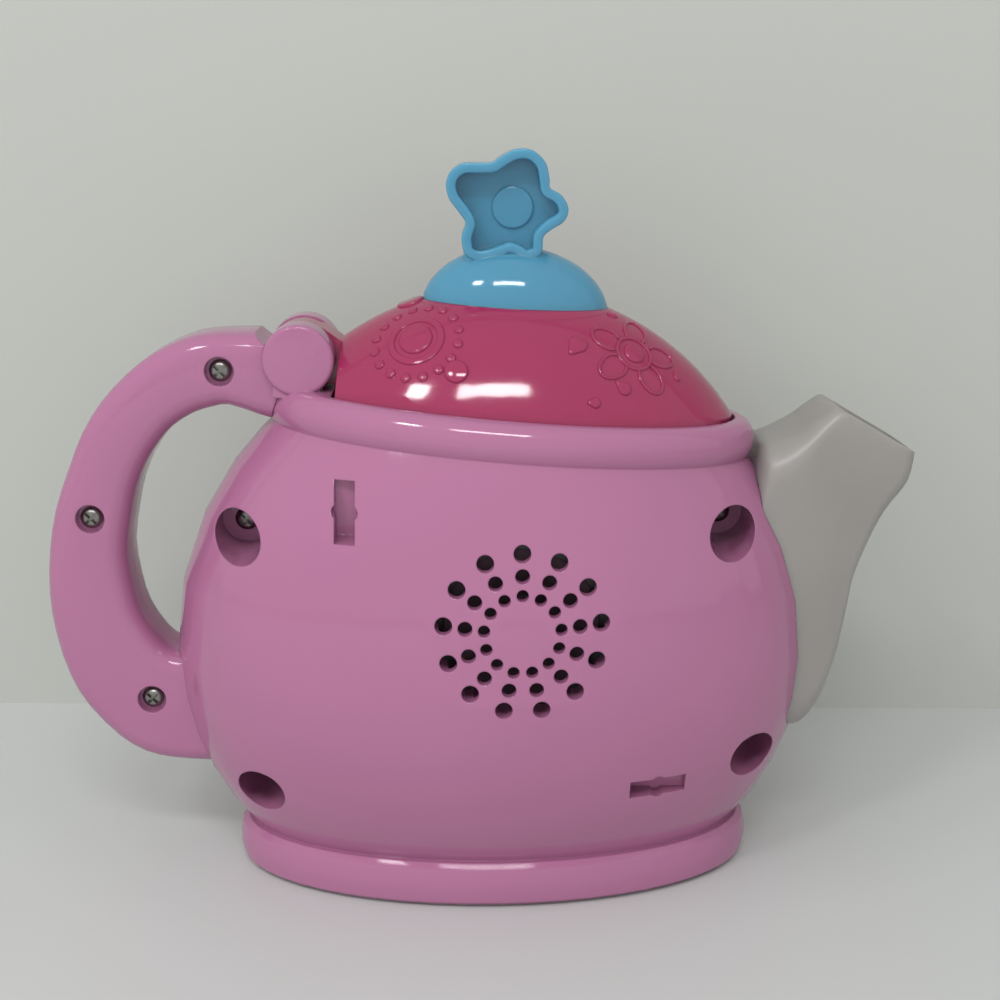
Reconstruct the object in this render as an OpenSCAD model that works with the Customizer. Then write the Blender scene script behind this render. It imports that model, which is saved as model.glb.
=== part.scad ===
// Toy teapot: a battery toy with a hinged lid, a flower knob, a loop handle and a glowing spout.
// Frame: origin at the middle of the base on the floor, +X towards the spout, +Z up,
// and the rear shell, with the speaker grille and the screw wells, faces -Y.

/* [Body] */
// Width of the body at its widest level
body_w = 156; // [140:1:172]
// Depth of the body at its widest level
body_d = 90.5; // [84:0.5:100]
// Height of the widest level above the floor
waist_z = 56.6; // [54:0.2:62]
// Arc radius of the two ends above the widest level
end_arc_up = 78; // [75:0.5:84]
// Arc radius of the two ends below the widest level
end_arc_low = 70; // [66:0.5:80]
// Arc radius of the front and the back above the widest level
side_arc_up = 123; // [116:1:150]
// Arc radius of the front and the back below the widest level
side_arc_low = 75; // [72:0.5:90]
// Wall of the shells
wall = 2.4; // [2:0.1:2.8]

/* [Base band] */
// Height of the flared band round the foot
band_h = 11.4; // [10:0.2:13]
// How far the band stands out from the neck above it
band_proud = 3.4; // [2:0.2:5]
// Gap between the lower edge of the shells and the floor
shell_lift = 0.4; // [0.2:0.1:0.8]

/* [Rim] */
// Slope of the rim and the lid, down towards the spout
rim_tilt = 4.8; // [3:0.2:6]
// Height of the crease under the rim bead, from the widest level
rim_low = 52.7; // [51.5:0.1:54]
// Height of the rim bead
rim_h = 8.8; // [8:0.1:10]
// Width of the rim bead, seen from above
rim_w = 5.3; // [4.6:0.1:6]
// How far the bead stands out from the body
rim_proud = 1.2; // [0.6:0.1:2]

/* [Lid] */
// Radius of the lid's dome, seen from the front
lid_ball_r = 66.1; // [63:0.1:70]
// Height of the lid's dome above the top of the rim
lid_rise = 26.6; // [24:0.1:29]
// Wall of the lid
lid_wall = 2.2; // [1.8:0.1:2.6]
// Gap between the lid's skirt and the rim
lid_gap = 0.9; // [0.7:0.1:1.2]

/* [Hinge] */
// Distance of the hinge axis inwards from the rim's outer end
hinge_in = 7.6; // [6.5:0.1:9]
// Height of the hinge axis above the top of the rim
hinge_up = 6.9; // [6:0.1:8]
// Radius of the hinge bosses
boss_r = 8.3; // [7.5:0.1:9]
// Length of each hinge boss
boss_l = 7.7; // [6:0.1:10]
// Width of the lid's knuckle
knuckle_w = 10; // [8:0.1:12]
// Diameter of the hinge pin
pin_d = 3; // [2.5:0.1:4]

/* [Knob] */
// Radius of the knob's dome, seen from the front
knob_ball_r = 24.3; // [22:0.1:27]
// Half width of the knob's dome where it meets the lid
knob_half_w = 22.2; // [20:0.1:24]
// Half depth of the knob's dome where it meets the lid
knob_half_d = 14; // [12:0.1:16]
// Height of the flower's centre above the lid's top
flower_up = 18.2; // [17:0.1:20]
// Size of the flower, as the radius of its core
flower_core_r = 9.4; // [8.5:0.1:10.5]
// Thickness of the flower
flower_t = 11; // [9:0.5:13]
// Wall round the flower's hollow
flower_wall = 1.9; // [1.5:0.1:2.4]
// Depth of the flower's hollow
flower_hollow = 6.5; // [4:0.5:7]

/* [Handle] */
// How far the handle stands out from the body's end
handle_reach = 29.6; // [27:0.2:33]
// Height of the handle's top above the rim's top
handle_top_up = 16.7; // [16:0.1:19]
// Thickness of the handle, front to back
handle_t = 20; // [18:0.5:22]
// Rounding of the handle's edges
handle_edge_r = 4.6; // [3:0.2:5.5]
// Wall of the handle's halves
handle_wall = 2.2; // [1.8:0.1:2.6]

/* [Spout] */
// How far the spout's tip stands out from the body's end
spout_reach = 25.2; // [23:0.2:28]
// Height of the spout's tip above the widest level
spout_tip_up = 61; // [58:0.5:64]
// Half width of the spout at its root
spout_half_w = 15; // [13:0.2:15.5]
// Half width of the spout at its mouth
mouth_half_w = 12.6; // [11:0.2:13]
// Wall of the spout
spout_wall = 2; // [1.6:0.1:2.4]

/* [Openings in the rear shell] */
// Diameter of the screw wells
well_d = 12; // [11:0.2:13]
// Radius of the grille's outer ring of holes
grille_r = 17.6; // [16:0.2:18]
// Holes in each ring of the grille
grille_count = 13; // [9:1:15]
// Length of the tie slots
tie_l = 13.4; // [12:0.2:15]
// Width of the tie slots
tie_w = 4.7; // [4:0.1:5.4]
// Depth of the tie slots
tie_depth = 6; // [5:0.2:8]

/* [Electrics] */
// Diameter of the speaker
speaker_d = 40; // [38:0.5:41]
// Diameter of one battery cell
cell_d = 14.2; // [14:0.1:14.4]
// Length of one battery cell, with its tip
cell_l = 50.2; // [49:0.1:50.5]
// Travel of the power switch
switch_travel = 8; // [6:0.5:8.5]

/* [Hidden] */

// Overrun of every cut
over = 1;
// Clearance between parts that are assembled and stay put
fit = 0.15;
// Clearance beside a part that moves
run_gap = 0.3;

// Facets round half of a lofted oval, and of one rounded corner
half_steps = 26;
corner_steps = 4;
$fn = 72;

// The body's outline
half_w = body_w / 2;
half_d = body_d / 2;
neck_h = band_h - waist_z;
rim_top = rim_low + rim_h;

// How far an arc of radius r has drawn in at the height h from its widest point
function drawn_in(r, h) = r - sqrt(r * r - h * h);
// Half width and half depth of the body at the height h from its widest level
function body_a(h) = half_w - drawn_in(h > 0 ? end_arc_up : end_arc_low, h);
function body_b(h) = half_d - drawn_in(h > 0 ? side_arc_up : side_arc_low, h);

rim_a = body_a(rim_low) + rim_proud;
rim_b = body_b(rim_low) + rim_proud;
mouth_a = rim_a - rim_w;
mouth_b = rim_b - rim_w;

// One point of a lofted oval: its plane turns with the height until it lies along the rim
function turn_at(h) = rim_tilt * max(0, min(1, h / rim_low));
function oval_point(ring, x_share, y_share, y_add) = let (h = ring[0], q = turn_at(h),
    x = ring[1] * x_share)
    [x * cos(q) + h * sin(q), ring[2] * y_share + y_add, waist_z - x * sin(q) + h * cos(q)];
// Half of a ring [height, half width, half depth], on the side -1 rear or +1 front, and past the
// parting plane by back
function half_ring(ring, side, back) = concat(
    [for (i = [0:half_steps]) let (q = (side < 0 ? 180 : 0) + 180 * i / half_steps)
        oval_point(ring, cos(q), sin(q), 0)],
    back > 0 ? [oval_point(ring, -side, 0, -side * back), oval_point(ring, side, 0, -side * back)]
        : []);

// A solid through rings of points, each ring counter-clockwise from its far end
module loft(rings) {
    count = len(rings[0]);
    last = len(rings) - 1;
    polyhedron(
        points = [for (ring = rings) for (p = ring) p],
        faces = concat(
            [[for (i = [0:count - 1]) i]],
            [for (k = [0:last - 1]) for (i = [0:count - 1])
                [k * count + i, (k + 1) * count + i, (k + 1) * count + (i + 1) % count]],
            [for (k = [0:last - 1]) for (i = [0:count - 1])
                [k * count + i, (k + 1) * count + (i + 1) % count, k * count + (i + 1) % count]],
            [[for (i = [0:count - 1]) last * count + count - 1 - i]]));
}

// The rings of the outside: the foot band, the body and the rim bead
band_turns = [8, 40, 75, 105, 140, 172];
body_share = [0, 0.16, 0.34, 0.54, 0.76, 1];
bead_turns = [0, 30, 58, 80];
band_rings = concat([for (q = band_turns)
        let (add = band_proud * sqrt(sin(q)), h = neck_h - (band_h - shell_lift) * (1 + cos(q)) / 2)
        [h, body_a(neck_h) + add, body_b(neck_h) + add]]);
belly_rings = concat(
    [for (s = body_share) [neck_h * (1 - s), body_a(neck_h * (1 - s)), body_b(neck_h * (1 - s))]],
    [for (i = [1:5]) let (h = rim_low * sin(18 * i)) [h, body_a(h), body_b(h)]]);
bead_mid = rim_low + rim_h * 0.4;
bead_round = rim_w * 0.72;
bead_rings = concat(
    [[rim_low + rim_h * 0.14, rim_a - rim_proud * 0.3, rim_b - rim_proud * 0.3]],
    [for (q = bead_turns) let (add = bead_round * (cos(q) - 1))
        [bead_mid + (rim_top - bead_mid) * sin(q), rim_a + add, rim_b + add]],
    [[rim_top, rim_a - bead_round, rim_b - bead_round]]);

module half_body(side) {
    loft([for (ring = concat(band_rings, belly_rings, bead_rings)) half_ring(ring, side, 0)]);
}

// The space inside the walls, up to the ledge under the tea well
ledge_drop = 6.4;
ledge_h = rim_top - ledge_drop;
ledge_w = 1.4;
module half_cavity(side) {
    low = neck_h - band_h - over;
    inner = [for (ring = belly_rings) if (ring[0] < rim_low - wall)
        [ring[0], ring[1] - wall, ring[2] - wall]];
    loft([for (ring = concat(
            [[low, body_a(neck_h) - wall, body_b(neck_h) - wall]],
            inner,
            [[rim_low, mouth_a + ledge_w, mouth_b + ledge_w],
             [rim_low + wall * 0.5, mouth_a, mouth_b],
             [ledge_h + over, mouth_a, mouth_b]]))
        half_ring(ring, side, over)]);
}

// Things that lie along the tilted rim
module on_rim() {
    translate([0, 0, waist_z]) rotate([0, rim_tilt, 0]) children();
}
// An upright oval disc
module oval(a, b, h) {
    scale([1, b / a, 1]) cylinder(r = a, h = h, $fn = 120);
}
// A cylinder along +Y from y = 0
module along_y(d, l) {
    rotate([-90, 0, 0]) cylinder(d = d, h = l);
}

// Hinge
hinge_u = hinge_in - rim_a;
hinge_h = rim_top + hinge_up;
deck_u = hinge_u + boss_r + lid_gap;
pin_fit = 0.05;
knuckle_r = boss_r - run_gap;
boss_y = knuckle_w / 2 + run_gap;
boss_edge = 1;
pedestal_w = boss_r * 1.3;
function rim_point(u, h) = [u * cos(rim_tilt) + h * sin(rim_tilt), 0,
    waist_z - u * sin(rim_tilt) + h * cos(rim_tilt)];
hinge_pos = rim_point(hinge_u, hinge_h);

// One hinge boss with a rounded outer edge, on its pedestal, on the side -1 or +1
module hinge_boss(side) {
    on_rim() translate([hinge_u, 0, hinge_h]) mirror([0, side < 0 ? 1 : 0, 0])
        translate([0, boss_y, 0]) {
            rotate([-90, 0, 0]) rotate_extrude() {
                square([boss_r, boss_l - boss_edge]);
                square([boss_r - boss_edge, boss_l]);
                translate([boss_r - boss_edge, boss_l - boss_edge]) circle(boss_edge);
            }
            translate([-pedestal_w / 2, 0, -hinge_up - rim_h / 4])
                cube([pedestal_w, boss_l - boss_edge, hinge_up + rim_h / 4]);
        }
}
module hinge_cuts(side) {
    on_rim() translate([hinge_u, 0, hinge_h]) {
        translate([0, -boss_y, 0]) along_y((boss_r + run_gap) * 2, boss_y * 2);
        translate([0, side > 0 ? 0 : -pin_end, 0]) along_y(pin_d + pin_fit * 2, pin_end);
    }
}
pin_end = boss_y + boss_l * 0.8;
module hinge_pin() {
    color("silver") on_rim() translate([hinge_u, -pin_end + pin_fit, hinge_h])
        along_y(pin_d, (pin_end - pin_fit) * 2);
}

// The mouth of the body under the lid, its deck beside the hinge, and the tea well's groove
flange_t = 1.8;
module rim_cuts(side) {
    on_rim() {
        translate([0, 0, ledge_h]) oval(mouth_a + ledge_w, mouth_b + ledge_w, flange_t + fit * 2);
        intersection() {
            translate([0, 0, ledge_h]) oval(mouth_a, mouth_b, rim_top);
            translate([deck_u - lid_gap, -body_d, 0]) cube([body_w, body_d * 2, rim_top * 2]);
        }
    }
    hinge_cuts(side);
}

// Foot plate and the lip of the shells that carries it
foot_a = body_a(neck_h) - wall;
foot_b = body_b(neck_h) - wall;
plate_t = 2.4;
plate_gap = 0.2;
lip_w = 1.4;
foot_flange_t = 1.6;
module foot_cuts() {
    translate([0, 0, plate_t - plate_gap / 2])
        oval(foot_a + lip_w, foot_b + lip_w, foot_flange_t + plate_gap);
}

// Screw posts: places [x, z] of the body's four screws
post_share = [[-0.763, 0.422], [0.699, 0.435], [-0.718, -0.373], [0.788, -0.277]];
post_places = [for (s = post_share) [half_w * s[0], waist_z + half_w * s[1]]];
well_wall = 1.5;
well_floor = 3;
screw_d = 3;
screw_fit = 0.06;
screw_clear = 0.4;
head_d = 5.6;
head_t = 2;
post_d = 9;
body_screw_l = 14;
module at_posts() {
    for (p = post_places) translate([p[0], 0, p[1]]) children();
}
module well_tubes() {
    at_posts() translate([0, -half_d, 0]) along_y(well_d + well_wall * 2, half_d + over * 2);
}
module wells() {
    at_posts() {
        translate([0, -half_d - over, 0]) along_y(well_d, half_d + over - well_floor);
        translate([0, -half_d, 0]) along_y(screw_d + screw_clear, half_d + over);
    }
}
module front_posts() {
    at_posts() translate([0, -over * 2, 0]) along_y(post_d, half_d + over);
}
module front_pilots() {
    at_posts() translate([0, -over, 0])
        along_y(screw_d + screw_fit * 2, body_screw_l + over * 2 - well_floor);
}
// A pan head screw along +Y: its head's seat is at y = 0
module screw(d, l, cap_d, cap_t) {
    slot_w = d / 4;
    slot_l = cap_d * 0.62;
    difference() {
        union() {
            along_y(d, l);
            translate([0, -cap_t, 0]) rotate([-90, 0, 0]) rotate_extrude() intersection() {
                square([cap_d / 2, cap_t]);
                translate([0, cap_t * 1.6]) circle(cap_t * 1.6 * 1.13);
            }
        }
        for (q = [45, 135]) rotate([0, q, 0])
            translate([-slot_l / 2, -cap_t * 1.3, -slot_w / 2]) cube([slot_l, cap_t, slot_w]);
    }
}
module body_screws() {
    color("silver") at_posts() translate([0, -well_floor, 0])
        screw(screw_d, body_screw_l, head_d, head_t);
}

// Speaker grille, and the collar and posts that carry the speaker behind it
grille_share = [0.069, 0.209];
grille_x = half_w * grille_share[0];
grille_z = waist_z + half_w * grille_share[1];
ring_share = [0.489, 0.728, 1];
hole_share = [0.153, 0.186, 0.222];
speaker_in = 8.8;
seat_y = speaker_in - half_d;
basket_t = 1.6;
basket_l = 9;
magnet_l = 7;
collar_wall = 2;
clamp_t = 1.6;
ear_r = 3.4;
ear_gap = 0.6;
ear_x = speaker_d / 2 + collar_wall + ear_r + ear_gap;
speaker_lip = 1.5;
clamp_lip = 1.3;
clamp_screw_d = 2;
module at_grille(y) {
    translate([grille_x, y, grille_z]) children();
}
module grille_holes() {
    at_grille(-half_d - over) for (k = [0:2]) for (i = [0:grille_count - 1])
        rotate([0, 360 * i / grille_count, 0]) translate([0, 0, grille_r * ring_share[k]])
            along_y(grille_r * hole_share[k], half_d + seat_y + over * 2);
}
module speaker_collar() {
    at_grille(-half_d) difference() {
        union() {
            along_y(speaker_d + collar_wall * 2, half_d + seat_y + basket_t);
            for (s = [-1, 1]) translate([s * ear_x, 0, 0])
                along_y(ear_r * 2, half_d + seat_y + basket_t);
        }
        translate([0, -over, 0]) along_y(speaker_d - speaker_lip * 2, half_d * 2);
        translate([0, half_d + seat_y, 0]) along_y(speaker_d + fit * 2, half_d);
    }
}
clamp_screw_l = 4.8;
clamp_head_d = 4;
module ear_pilots(gap) {
    depth = clamp_screw_l - clamp_t + screw_clear;
    at_grille(seat_y + basket_t - depth) for (s = [-1, 1]) translate([s * ear_x, 0, 0])
        along_y(clamp_screw_d + gap, depth + over);
}

// Packing tie slots: blind pockets with two small bumps half way along
tie_share = [[-0.435, 0.532], [0.478, -0.308]];
tie_turns = [0, 90];
tie_wall = 1.6;
tie_bump = 1;
function surface_y(x, z) = let (h = z - waist_z)
    -body_b(h) * sqrt(1 - pow(x / body_a(h), 2));
module at_ties() {
    for (i = [0:len(tie_share) - 1])
        let (x = half_w * tie_share[i][0], z = waist_z + half_w * tie_share[i][1])
        translate([x, surface_y(x, z) + tie_depth, z]) rotate([0, tie_turns[i], 0]) children();
}
module tie_boxes() {
    side = tie_wall + tie_bump;
    at_ties() translate([-tie_w / 2 - side, -half_d, -tie_l / 2 - tie_wall])
        cube([tie_w + side * 2, half_d + tie_wall, tie_l + tie_wall * 2]);
}
module tie_slots() {
    bump_r = tie_w * 0.36;
    at_ties() translate([0, -tie_depth * 2, 0]) {
        translate([-tie_w / 2, 0, -tie_l / 2]) cube([tie_w, tie_depth * 2, tie_l]);
        for (s = [-1, 1]) translate([s * (tie_w / 2 - bump_r * 0.6), 0, 0])
            along_y(bump_r * 2, tie_depth * 2);
    }
}

// Spout: pairs of top and bottom points [x, z] as shares of its reach and rise
tip_x = half_w + spout_reach;
root_w = tip_x * 0.59;
spout_x0 = half_w * 0.8;
spout_share = [
    [-0, 0.728, 0.174, -0.334, 0, 0], [0.054, 0.731, 0.382, -0.351, 0, 0],
    [0.037, 0.841, 0.468, -0.256, 0, 0.05], [0.174, 0.897, 0.537, -0.125, 0.1, 0.1],
    [0.26, 0.936, 0.586, 0.023, 0.25, 0.2], [0.333, 0.966, 0.618, 0.179, 0.4, 0.3],
    [0.39, 0.985, 0.659, 0.343, 0.55, 0.4], [0.417, 0.995, 0.74, 0.482, 0.7, 0.5],
    [0.426, 1, 0.863, 0.608, 0.85, 0.6], [0.436, 1, 1, 0.705, 0.95, 0.8],
    [0.453, 0.998, 0.993, 0.762, 1, 1]];
spout_span = tip_x - spout_x0;
spout_corner = 9;
mouth_corner = 5;
// One section: a rounded rectangle between its top and bottom points, drawn in by t
function spout_section(s, t, push) = let (
    top = [spout_x0 + spout_span * s[0], waist_z + spout_tip_up * s[1]],
    low = [spout_x0 + spout_span * s[2], waist_z + spout_tip_up * s[3]],
    span = norm(low - top), dir = (low - top) / span, out = [-dir[1], dir[0]] * push,
    w = spout_half_w + (mouth_half_w - spout_half_w) * s[4] - t,
    c = spout_corner + (mouth_corner - spout_corner) * s[5] - t * 0.6)
    [for (k = [0:3]) for (i = [0:corner_steps]) let (q = 90 * k + 90 * i / corner_steps,
        v = (k == 0 || k == 3 ? w - c : c - w) + c * cos(q),
        e = (k < 2 ? t + c : span - t - c) - c * sin(q),
        p = top + dir * e + out)
        [p[0], v, p[1]]];
module spout_solid(from, to, t, push_from, push_to) {
    loft([for (k = [from:to]) spout_section(spout_share[k], t,
        k == from ? push_from : (k == to ? push_to : 0))]);
}
// The opening of the shells that the spout passes through
module spout_opening() {
    spout_solid(0, 3, -fit, 0, 0);
}
spout_ear = 2;
spout_ear_h = 12;
spout_ear_t = 1.3;
spout_ear_x = half_w * 0.864;
module spout() {
    color("whitesmoke") {
        difference() {
            union() {
                spout_solid(0, 10, 0, 0, 0);
                for (s = [-1, 1]) translate([spout_ear_x, s * spout_half_w - (s < 0 ? spout_ear : over),
                        waist_z - spout_ear_h / 2])
                    cube([spout_ear_t, spout_ear + over, spout_ear_h]);
            }
            spout_solid(0, 6, spout_wall, -over, 0);
            spout_solid(8, 10, spout_wall, 0, over);
        }
    }
}

// Handle: points of its outer and inner edges as shares of its reach and its height
handle_x1 = -half_w - handle_reach;
handle_z1 = waist_z + rim_top + handle_top_up;
outer_share = [[0.95, 1], [0.69, 1], [0.4, 0.997], [0.19, 0.98], [-0.06, 0.935], [-0.27, 0.875],
    [-0.48, 0.793], [-0.65, 0.696], [-0.78, 0.583], [-0.9, 0.463], [-0.97, 0.338], [-1, 0.197],
    [-0.97, 0.063], [-0.88, -0.075], [-0.74, -0.179], [-0.5, -0.283], [-0.29, -0.336],
    [-0.07, -0.358], [0.18, -0.367], [0.41, -0.371]];
inner_share = [[0.95, 0.731], [0.77, 0.751], [0.54, 0.781], [0.41, 0.776], [0.25, 0.758],
    [0.08, 0.719], [-0.04, 0.67], [-0.15, 0.609], [-0.24, 0.533], [-0.3, 0.442], [-0.35, 0.325],
    [-0.32, 0.207], [-0.26, 0.118], [-0.16, 0.051], [-0.08, 0.015], [-0.01, 0], [0.04, -0.003],
    [0.14, -0.003], [0.27, -0.003], [0.44, -0.003]];
handle_h = handle_z1 - waist_z;
function handle_at(s) = [-half_w + handle_reach * s[0], waist_z + handle_h * s[1]];
// A smooth curve through a list of points, at the place t
function smooth(list, t) = let (n = len(list) - 1, k = min(floor(t), n - 1), u = t - k,
    p0 = list[max(k - 1, 0)], p1 = list[k], p2 = list[k + 1], p3 = list[min(k + 2, n)])
    (p1 * 2 + (p2 - p0) * u + (p0 * 2 - p1 * 5 + p2 * 4 - p3) * u * u
        + (p1 * 3 - p0 - p2 * 3 + p3) * u * u * u) / 2;
// One section of a handle half: a flat back with two rounded edges, drawn in by t
function handle_section(k, side, t, back) = let (
    out = handle_at(smooth(outer_share, k)), in = handle_at(smooth(inner_share, k)),
    span = norm(in - out), dir = (in - out) / span, c = handle_edge_r - t * 0.6,
    y1 = handle_t / 2 - t,
    half = concat(back > 0 ? [[t, -back], [t, 0]] : [[t, 0]],
        [for (i = [0:corner_steps]) let (q = 90 * i / corner_steps)
            [t + c - c * cos(q), y1 - c + c * sin(q)]],
        [for (i = [0:corner_steps]) let (q = 90 * i / corner_steps)
            [span - t - c + c * sin(q), y1 - c + c * cos(q)]],
        back > 0 ? [[span - t, 0], [span - t, -back]] : [[span - t, 0]]),
    ring = side > 0 ? half : [for (i = [len(half) - 1:-1:0]) half[i]])
    [for (p = ring) [out[0] + dir[0] * p[0], side * p[1], out[1] + dir[1] * p[0]]];
handle_last = len(outer_share) - 1;
module handle_solid(side, from, to, step, t, back) {
    loft([for (k = [from:step:to]) handle_section(k, side, t, back)]);
}
// Places of the three handle screws, and the sizes of their seats
handle_screw_share = [[0.483, 0.89], [-0.598, 0.441], [-0.193, -0.143]];
handle_head_d = 5.2;
handle_head_t = 1.8;
handle_seat_d = 6.9;
handle_seat_y = 2.6;
handle_post_d = 8.6;
handle_screw_d = 2.8;
handle_screw_l = 13;
module at_handle_screws() {
    for (s = handle_screw_share) let (p = handle_at(s)) translate([p[0], 0, p[1]]) children();
}
foot_z0 = handle_at(outer_share[handle_last])[1];
foot_z1 = handle_at(inner_share[handle_last])[1];
// A tongue of each handle half in a pocket of the rim's end
tongue_w = 3.6;
tongue_h = 2.4;
tongue_l = 6;
tongue_drop = 1.5;
tongue_side = 0.9;
module tongue(side, gap) {
    on_rim() translate([-rim_a - over - gap, side * (boss_y + tongue_side + tongue_w / 2),
            rim_top - tongue_drop])
        translate([0, -tongue_w / 2 - gap, -tongue_h - gap])
            cube([tongue_l + over + gap * 2, tongue_w + gap * 2, tongue_h + gap * 2]);
}
// The rim bead with a clearance round it, which the handle's end stops against
module rim_block(side) {
    rings = concat([for (ring = belly_rings) if (ring[0] > rim_low * 0.75) ring], bead_rings,
        [[rim_top + fit, rim_a - bead_round, rim_b - bead_round]]);
    loft([for (ring = rings) half_ring([ring[0], ring[1] + fit, ring[2] + fit], side, over)]);
}
hook_l = 2;
hook_h = 2.4;
hook_w = 4;
scoop_r = 7;
scoop_out = 4.8;
scoop_up = 8.6;
scoop_u = hinge_u - scoop_out;
scoop_h = hinge_h + scoop_up;
module handle_half(side) {
    difference() {
        handle_solid(side, 0, handle_last, 0.5, 0, 0);
        difference() {
            handle_solid(side, 2, handle_last - 0.5, 0.5, handle_wall, over);
            at_handle_screws() mirror([0, side < 0 ? 1 : 0, 0])
                translate([0, -over * 2, 0]) along_y(handle_post_d, handle_t);
        }
        // The end is hollowed round the hinge boss and stops short of the rim
        on_rim() {
            translate([hinge_u, -body_d / 2, hinge_h]) along_y((boss_r + fit) * 2, body_d);
            translate([scoop_u, -body_d / 2, scoop_h]) along_y(scoop_r * 2, body_d);
        }
        rim_block(side);
    }
    intersection() {
        tongue(side, 0);
        on_rim() translate([-rim_a - over, -body_d / 2, 0])
            cube([tongue_l + over, body_d, rim_top * 2]);
    }
    translate([wall + fit * 2 - half_w, side < 0 ? -hook_w : 0, foot_z1 - over])
        cube([hook_l, hook_w, hook_h + over]);
}
module handle_opening() {
    translate([-body_w, -handle_t / 2 - fit, foot_z0 - fit])
        cube([body_w - half_w * 0.84, handle_t + fit * 2, foot_z1 - foot_z0 + fit * 2]);
    for (side = [-1, 1]) tongue(side, fit);
}
module handle_rear() {
    color("pink") difference() {
        handle_half(-1);
        at_handle_screws() {
            translate([0, -handle_t / 2 - over, 0]) along_y(handle_seat_d, handle_seat_y + over);
            translate([0, -handle_t / 2, 0]) along_y(handle_screw_d + screw_clear, handle_t);
        }
    }
}
module handle_front() {
    color("pink") difference() {
        handle_half(1);
        at_handle_screws() translate([0, -over, 0])
            along_y(handle_screw_d + screw_fit * 2,
                handle_screw_l - handle_t / 2 + handle_seat_y + over * 2);
    }
}
module handle_screws() {
    color("silver") at_handle_screws() translate([0, handle_seat_y - handle_t / 2, 0])
        screw(handle_screw_d, handle_screw_l, handle_head_d, handle_head_t);
}

// The two shells
module rear_shell() {
    color("pink") difference() {
        union() {
            half_body(-1);
            hinge_boss(-1);
        }
        difference() {
            half_cavity(-1);
            well_tubes();
            speaker_collar();
            tie_boxes();
        }
        rim_cuts(-1);
        foot_cuts();
        wells();
        grille_holes();
        ear_pilots(screw_fit * 2);
        tie_slots();
        spout_opening();
        handle_opening();
    }
}
module front_shell() {
    color("pink") difference() {
        union() {
            half_body(1);
            hinge_boss(1);
        }
        difference() {
            half_cavity(1);
            front_posts();
        }
        rim_cuts(1);
        foot_cuts();
        front_pilots();
        spout_opening();
        handle_opening();
    }
}

// Batteries: three cells side by side, along X
cell_gap = 0.4;
cell_pitch = cell_d + cell_gap;
cell_count = 3;
spring_room = 5.6;
box_l = cell_l + spring_room;
box_w = cell_pitch * cell_count + cell_gap;
box_wall = 1.3;
door_over = 1;
door_l = box_l + door_over * 2;
door_w = box_w + door_over * 2;
door_t = 2.2;
slider_z = 0.4;
cell_z = plate_t + plate_gap + cell_d / 2;
box_top = cell_z + cell_d / 2 + cell_gap;
door_ear_l = 9;
door_ear_w = 12;
door_tab_w = 6;
door_tab_l = 2.4;
door_screw_x = door_l / 2 + door_ear_l / 2;
door_post_d = 7;
door_post_up = 2;
door_screw_in = 5;
door_seat = door_t * 0.55;
module door_outline(gap) {
    square([door_l + gap * 2, door_w + gap * 2], center = true);
    translate([door_l / 2 - over, -door_ear_w / 2 - gap])
        square([door_ear_l + over + gap, door_ear_w + gap * 2]);
}
module base_plate() {
    color("hotpink") difference() {
        union() {
            oval(foot_a - plate_gap, foot_b - plate_gap, plate_t + over / 2);
            translate([0, 0, plate_t]) oval(foot_a + lip_w - fit, foot_b + lip_w - fit, foot_flange_t);
            translate([-box_l / 2 - box_wall, -box_w / 2 - box_wall, plate_t])
                cube([box_l + box_wall * 2, box_w + box_wall * 2, box_top + box_wall - plate_t]);
            translate([door_screw_x, 0, 0]) cylinder(d = door_post_d, h = cell_d);
            for (x = [-1, 1]) for (y = [-1, 1])
                translate([x * board_hole_x + board_x, y * board_hole_y, box_top])
                    cylinder(d = board_post_d, h = board_z - box_top);
            translate([switch_x - switch_well_w / 2 - switch_wall, -switch_well_l / 2 - switch_wall, 0])
                cube([switch_well_w + switch_wall * 2, switch_well_l + switch_wall * 2, switch_floor]);
        }
        translate([-box_l / 2, -box_w / 2, -over]) cube([box_l, box_w, box_top + over]);
        translate([0, 0, -over]) linear_extrude(plate_t + over) door_outline(plate_gap);
        for (s = [-1, 1]) translate([-door_l / 2 - door_tab_l - plate_gap * 2,
                s * door_w / 4 - door_tab_w / 2 - plate_gap, plate_t / 2 - plate_gap])
            cube([door_l / 2, door_tab_w + plate_gap * 2, plate_t / 2 + plate_gap]);
        translate([door_screw_x, 0, 0]) cylinder(d = screw_d + screw_fit * 2, h = cell_d - door_post_up);
        for (x = [-1, 1]) for (y = [-1, 1])
            translate([x * board_hole_x + board_x, y * board_hole_y, board_z - board_screw_l])
                cylinder(d = board_screw_d + screw_fit * 2, h = board_screw_l + over);
        translate([switch_x - switch_well_w / 2, -switch_well_l / 2, -over])
            cube([switch_well_w, switch_well_l, switch_floor - switch_deck + over]);
        translate([switch_x - stem_w / 2 - fit, -stem_l / 2 - switch_travel / 2 - run_gap, 0])
            cube([stem_w + fit * 2, stem_l + switch_travel + run_gap * 2, switch_floor + over]);
    }
}
module battery_door() {
    color("hotpink") difference() {
        union() {
            linear_extrude(door_t) door_outline(0);
            for (s = [-1, 1])
                translate([-door_l / 2 - door_tab_l, s * door_w / 4 - door_tab_w / 2, plate_t / 2])
                    cube([door_tab_l + over, door_tab_w, door_t - plate_t / 2]);
        }
        translate([door_screw_x, 0, 0]) cylinder(d = screw_d + screw_clear, h = plate_t * 2);
        translate([door_screw_x, 0, -over]) cylinder(d = head_d + screw_clear * 2, h = over + door_seat);
    }
}
module door_screw() {
    color("silver") translate([door_screw_x, 0, door_seat]) rotate([90, 0, 0])
        screw(screw_d, cell_d - door_screw_in, head_d, door_seat);
}
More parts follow.
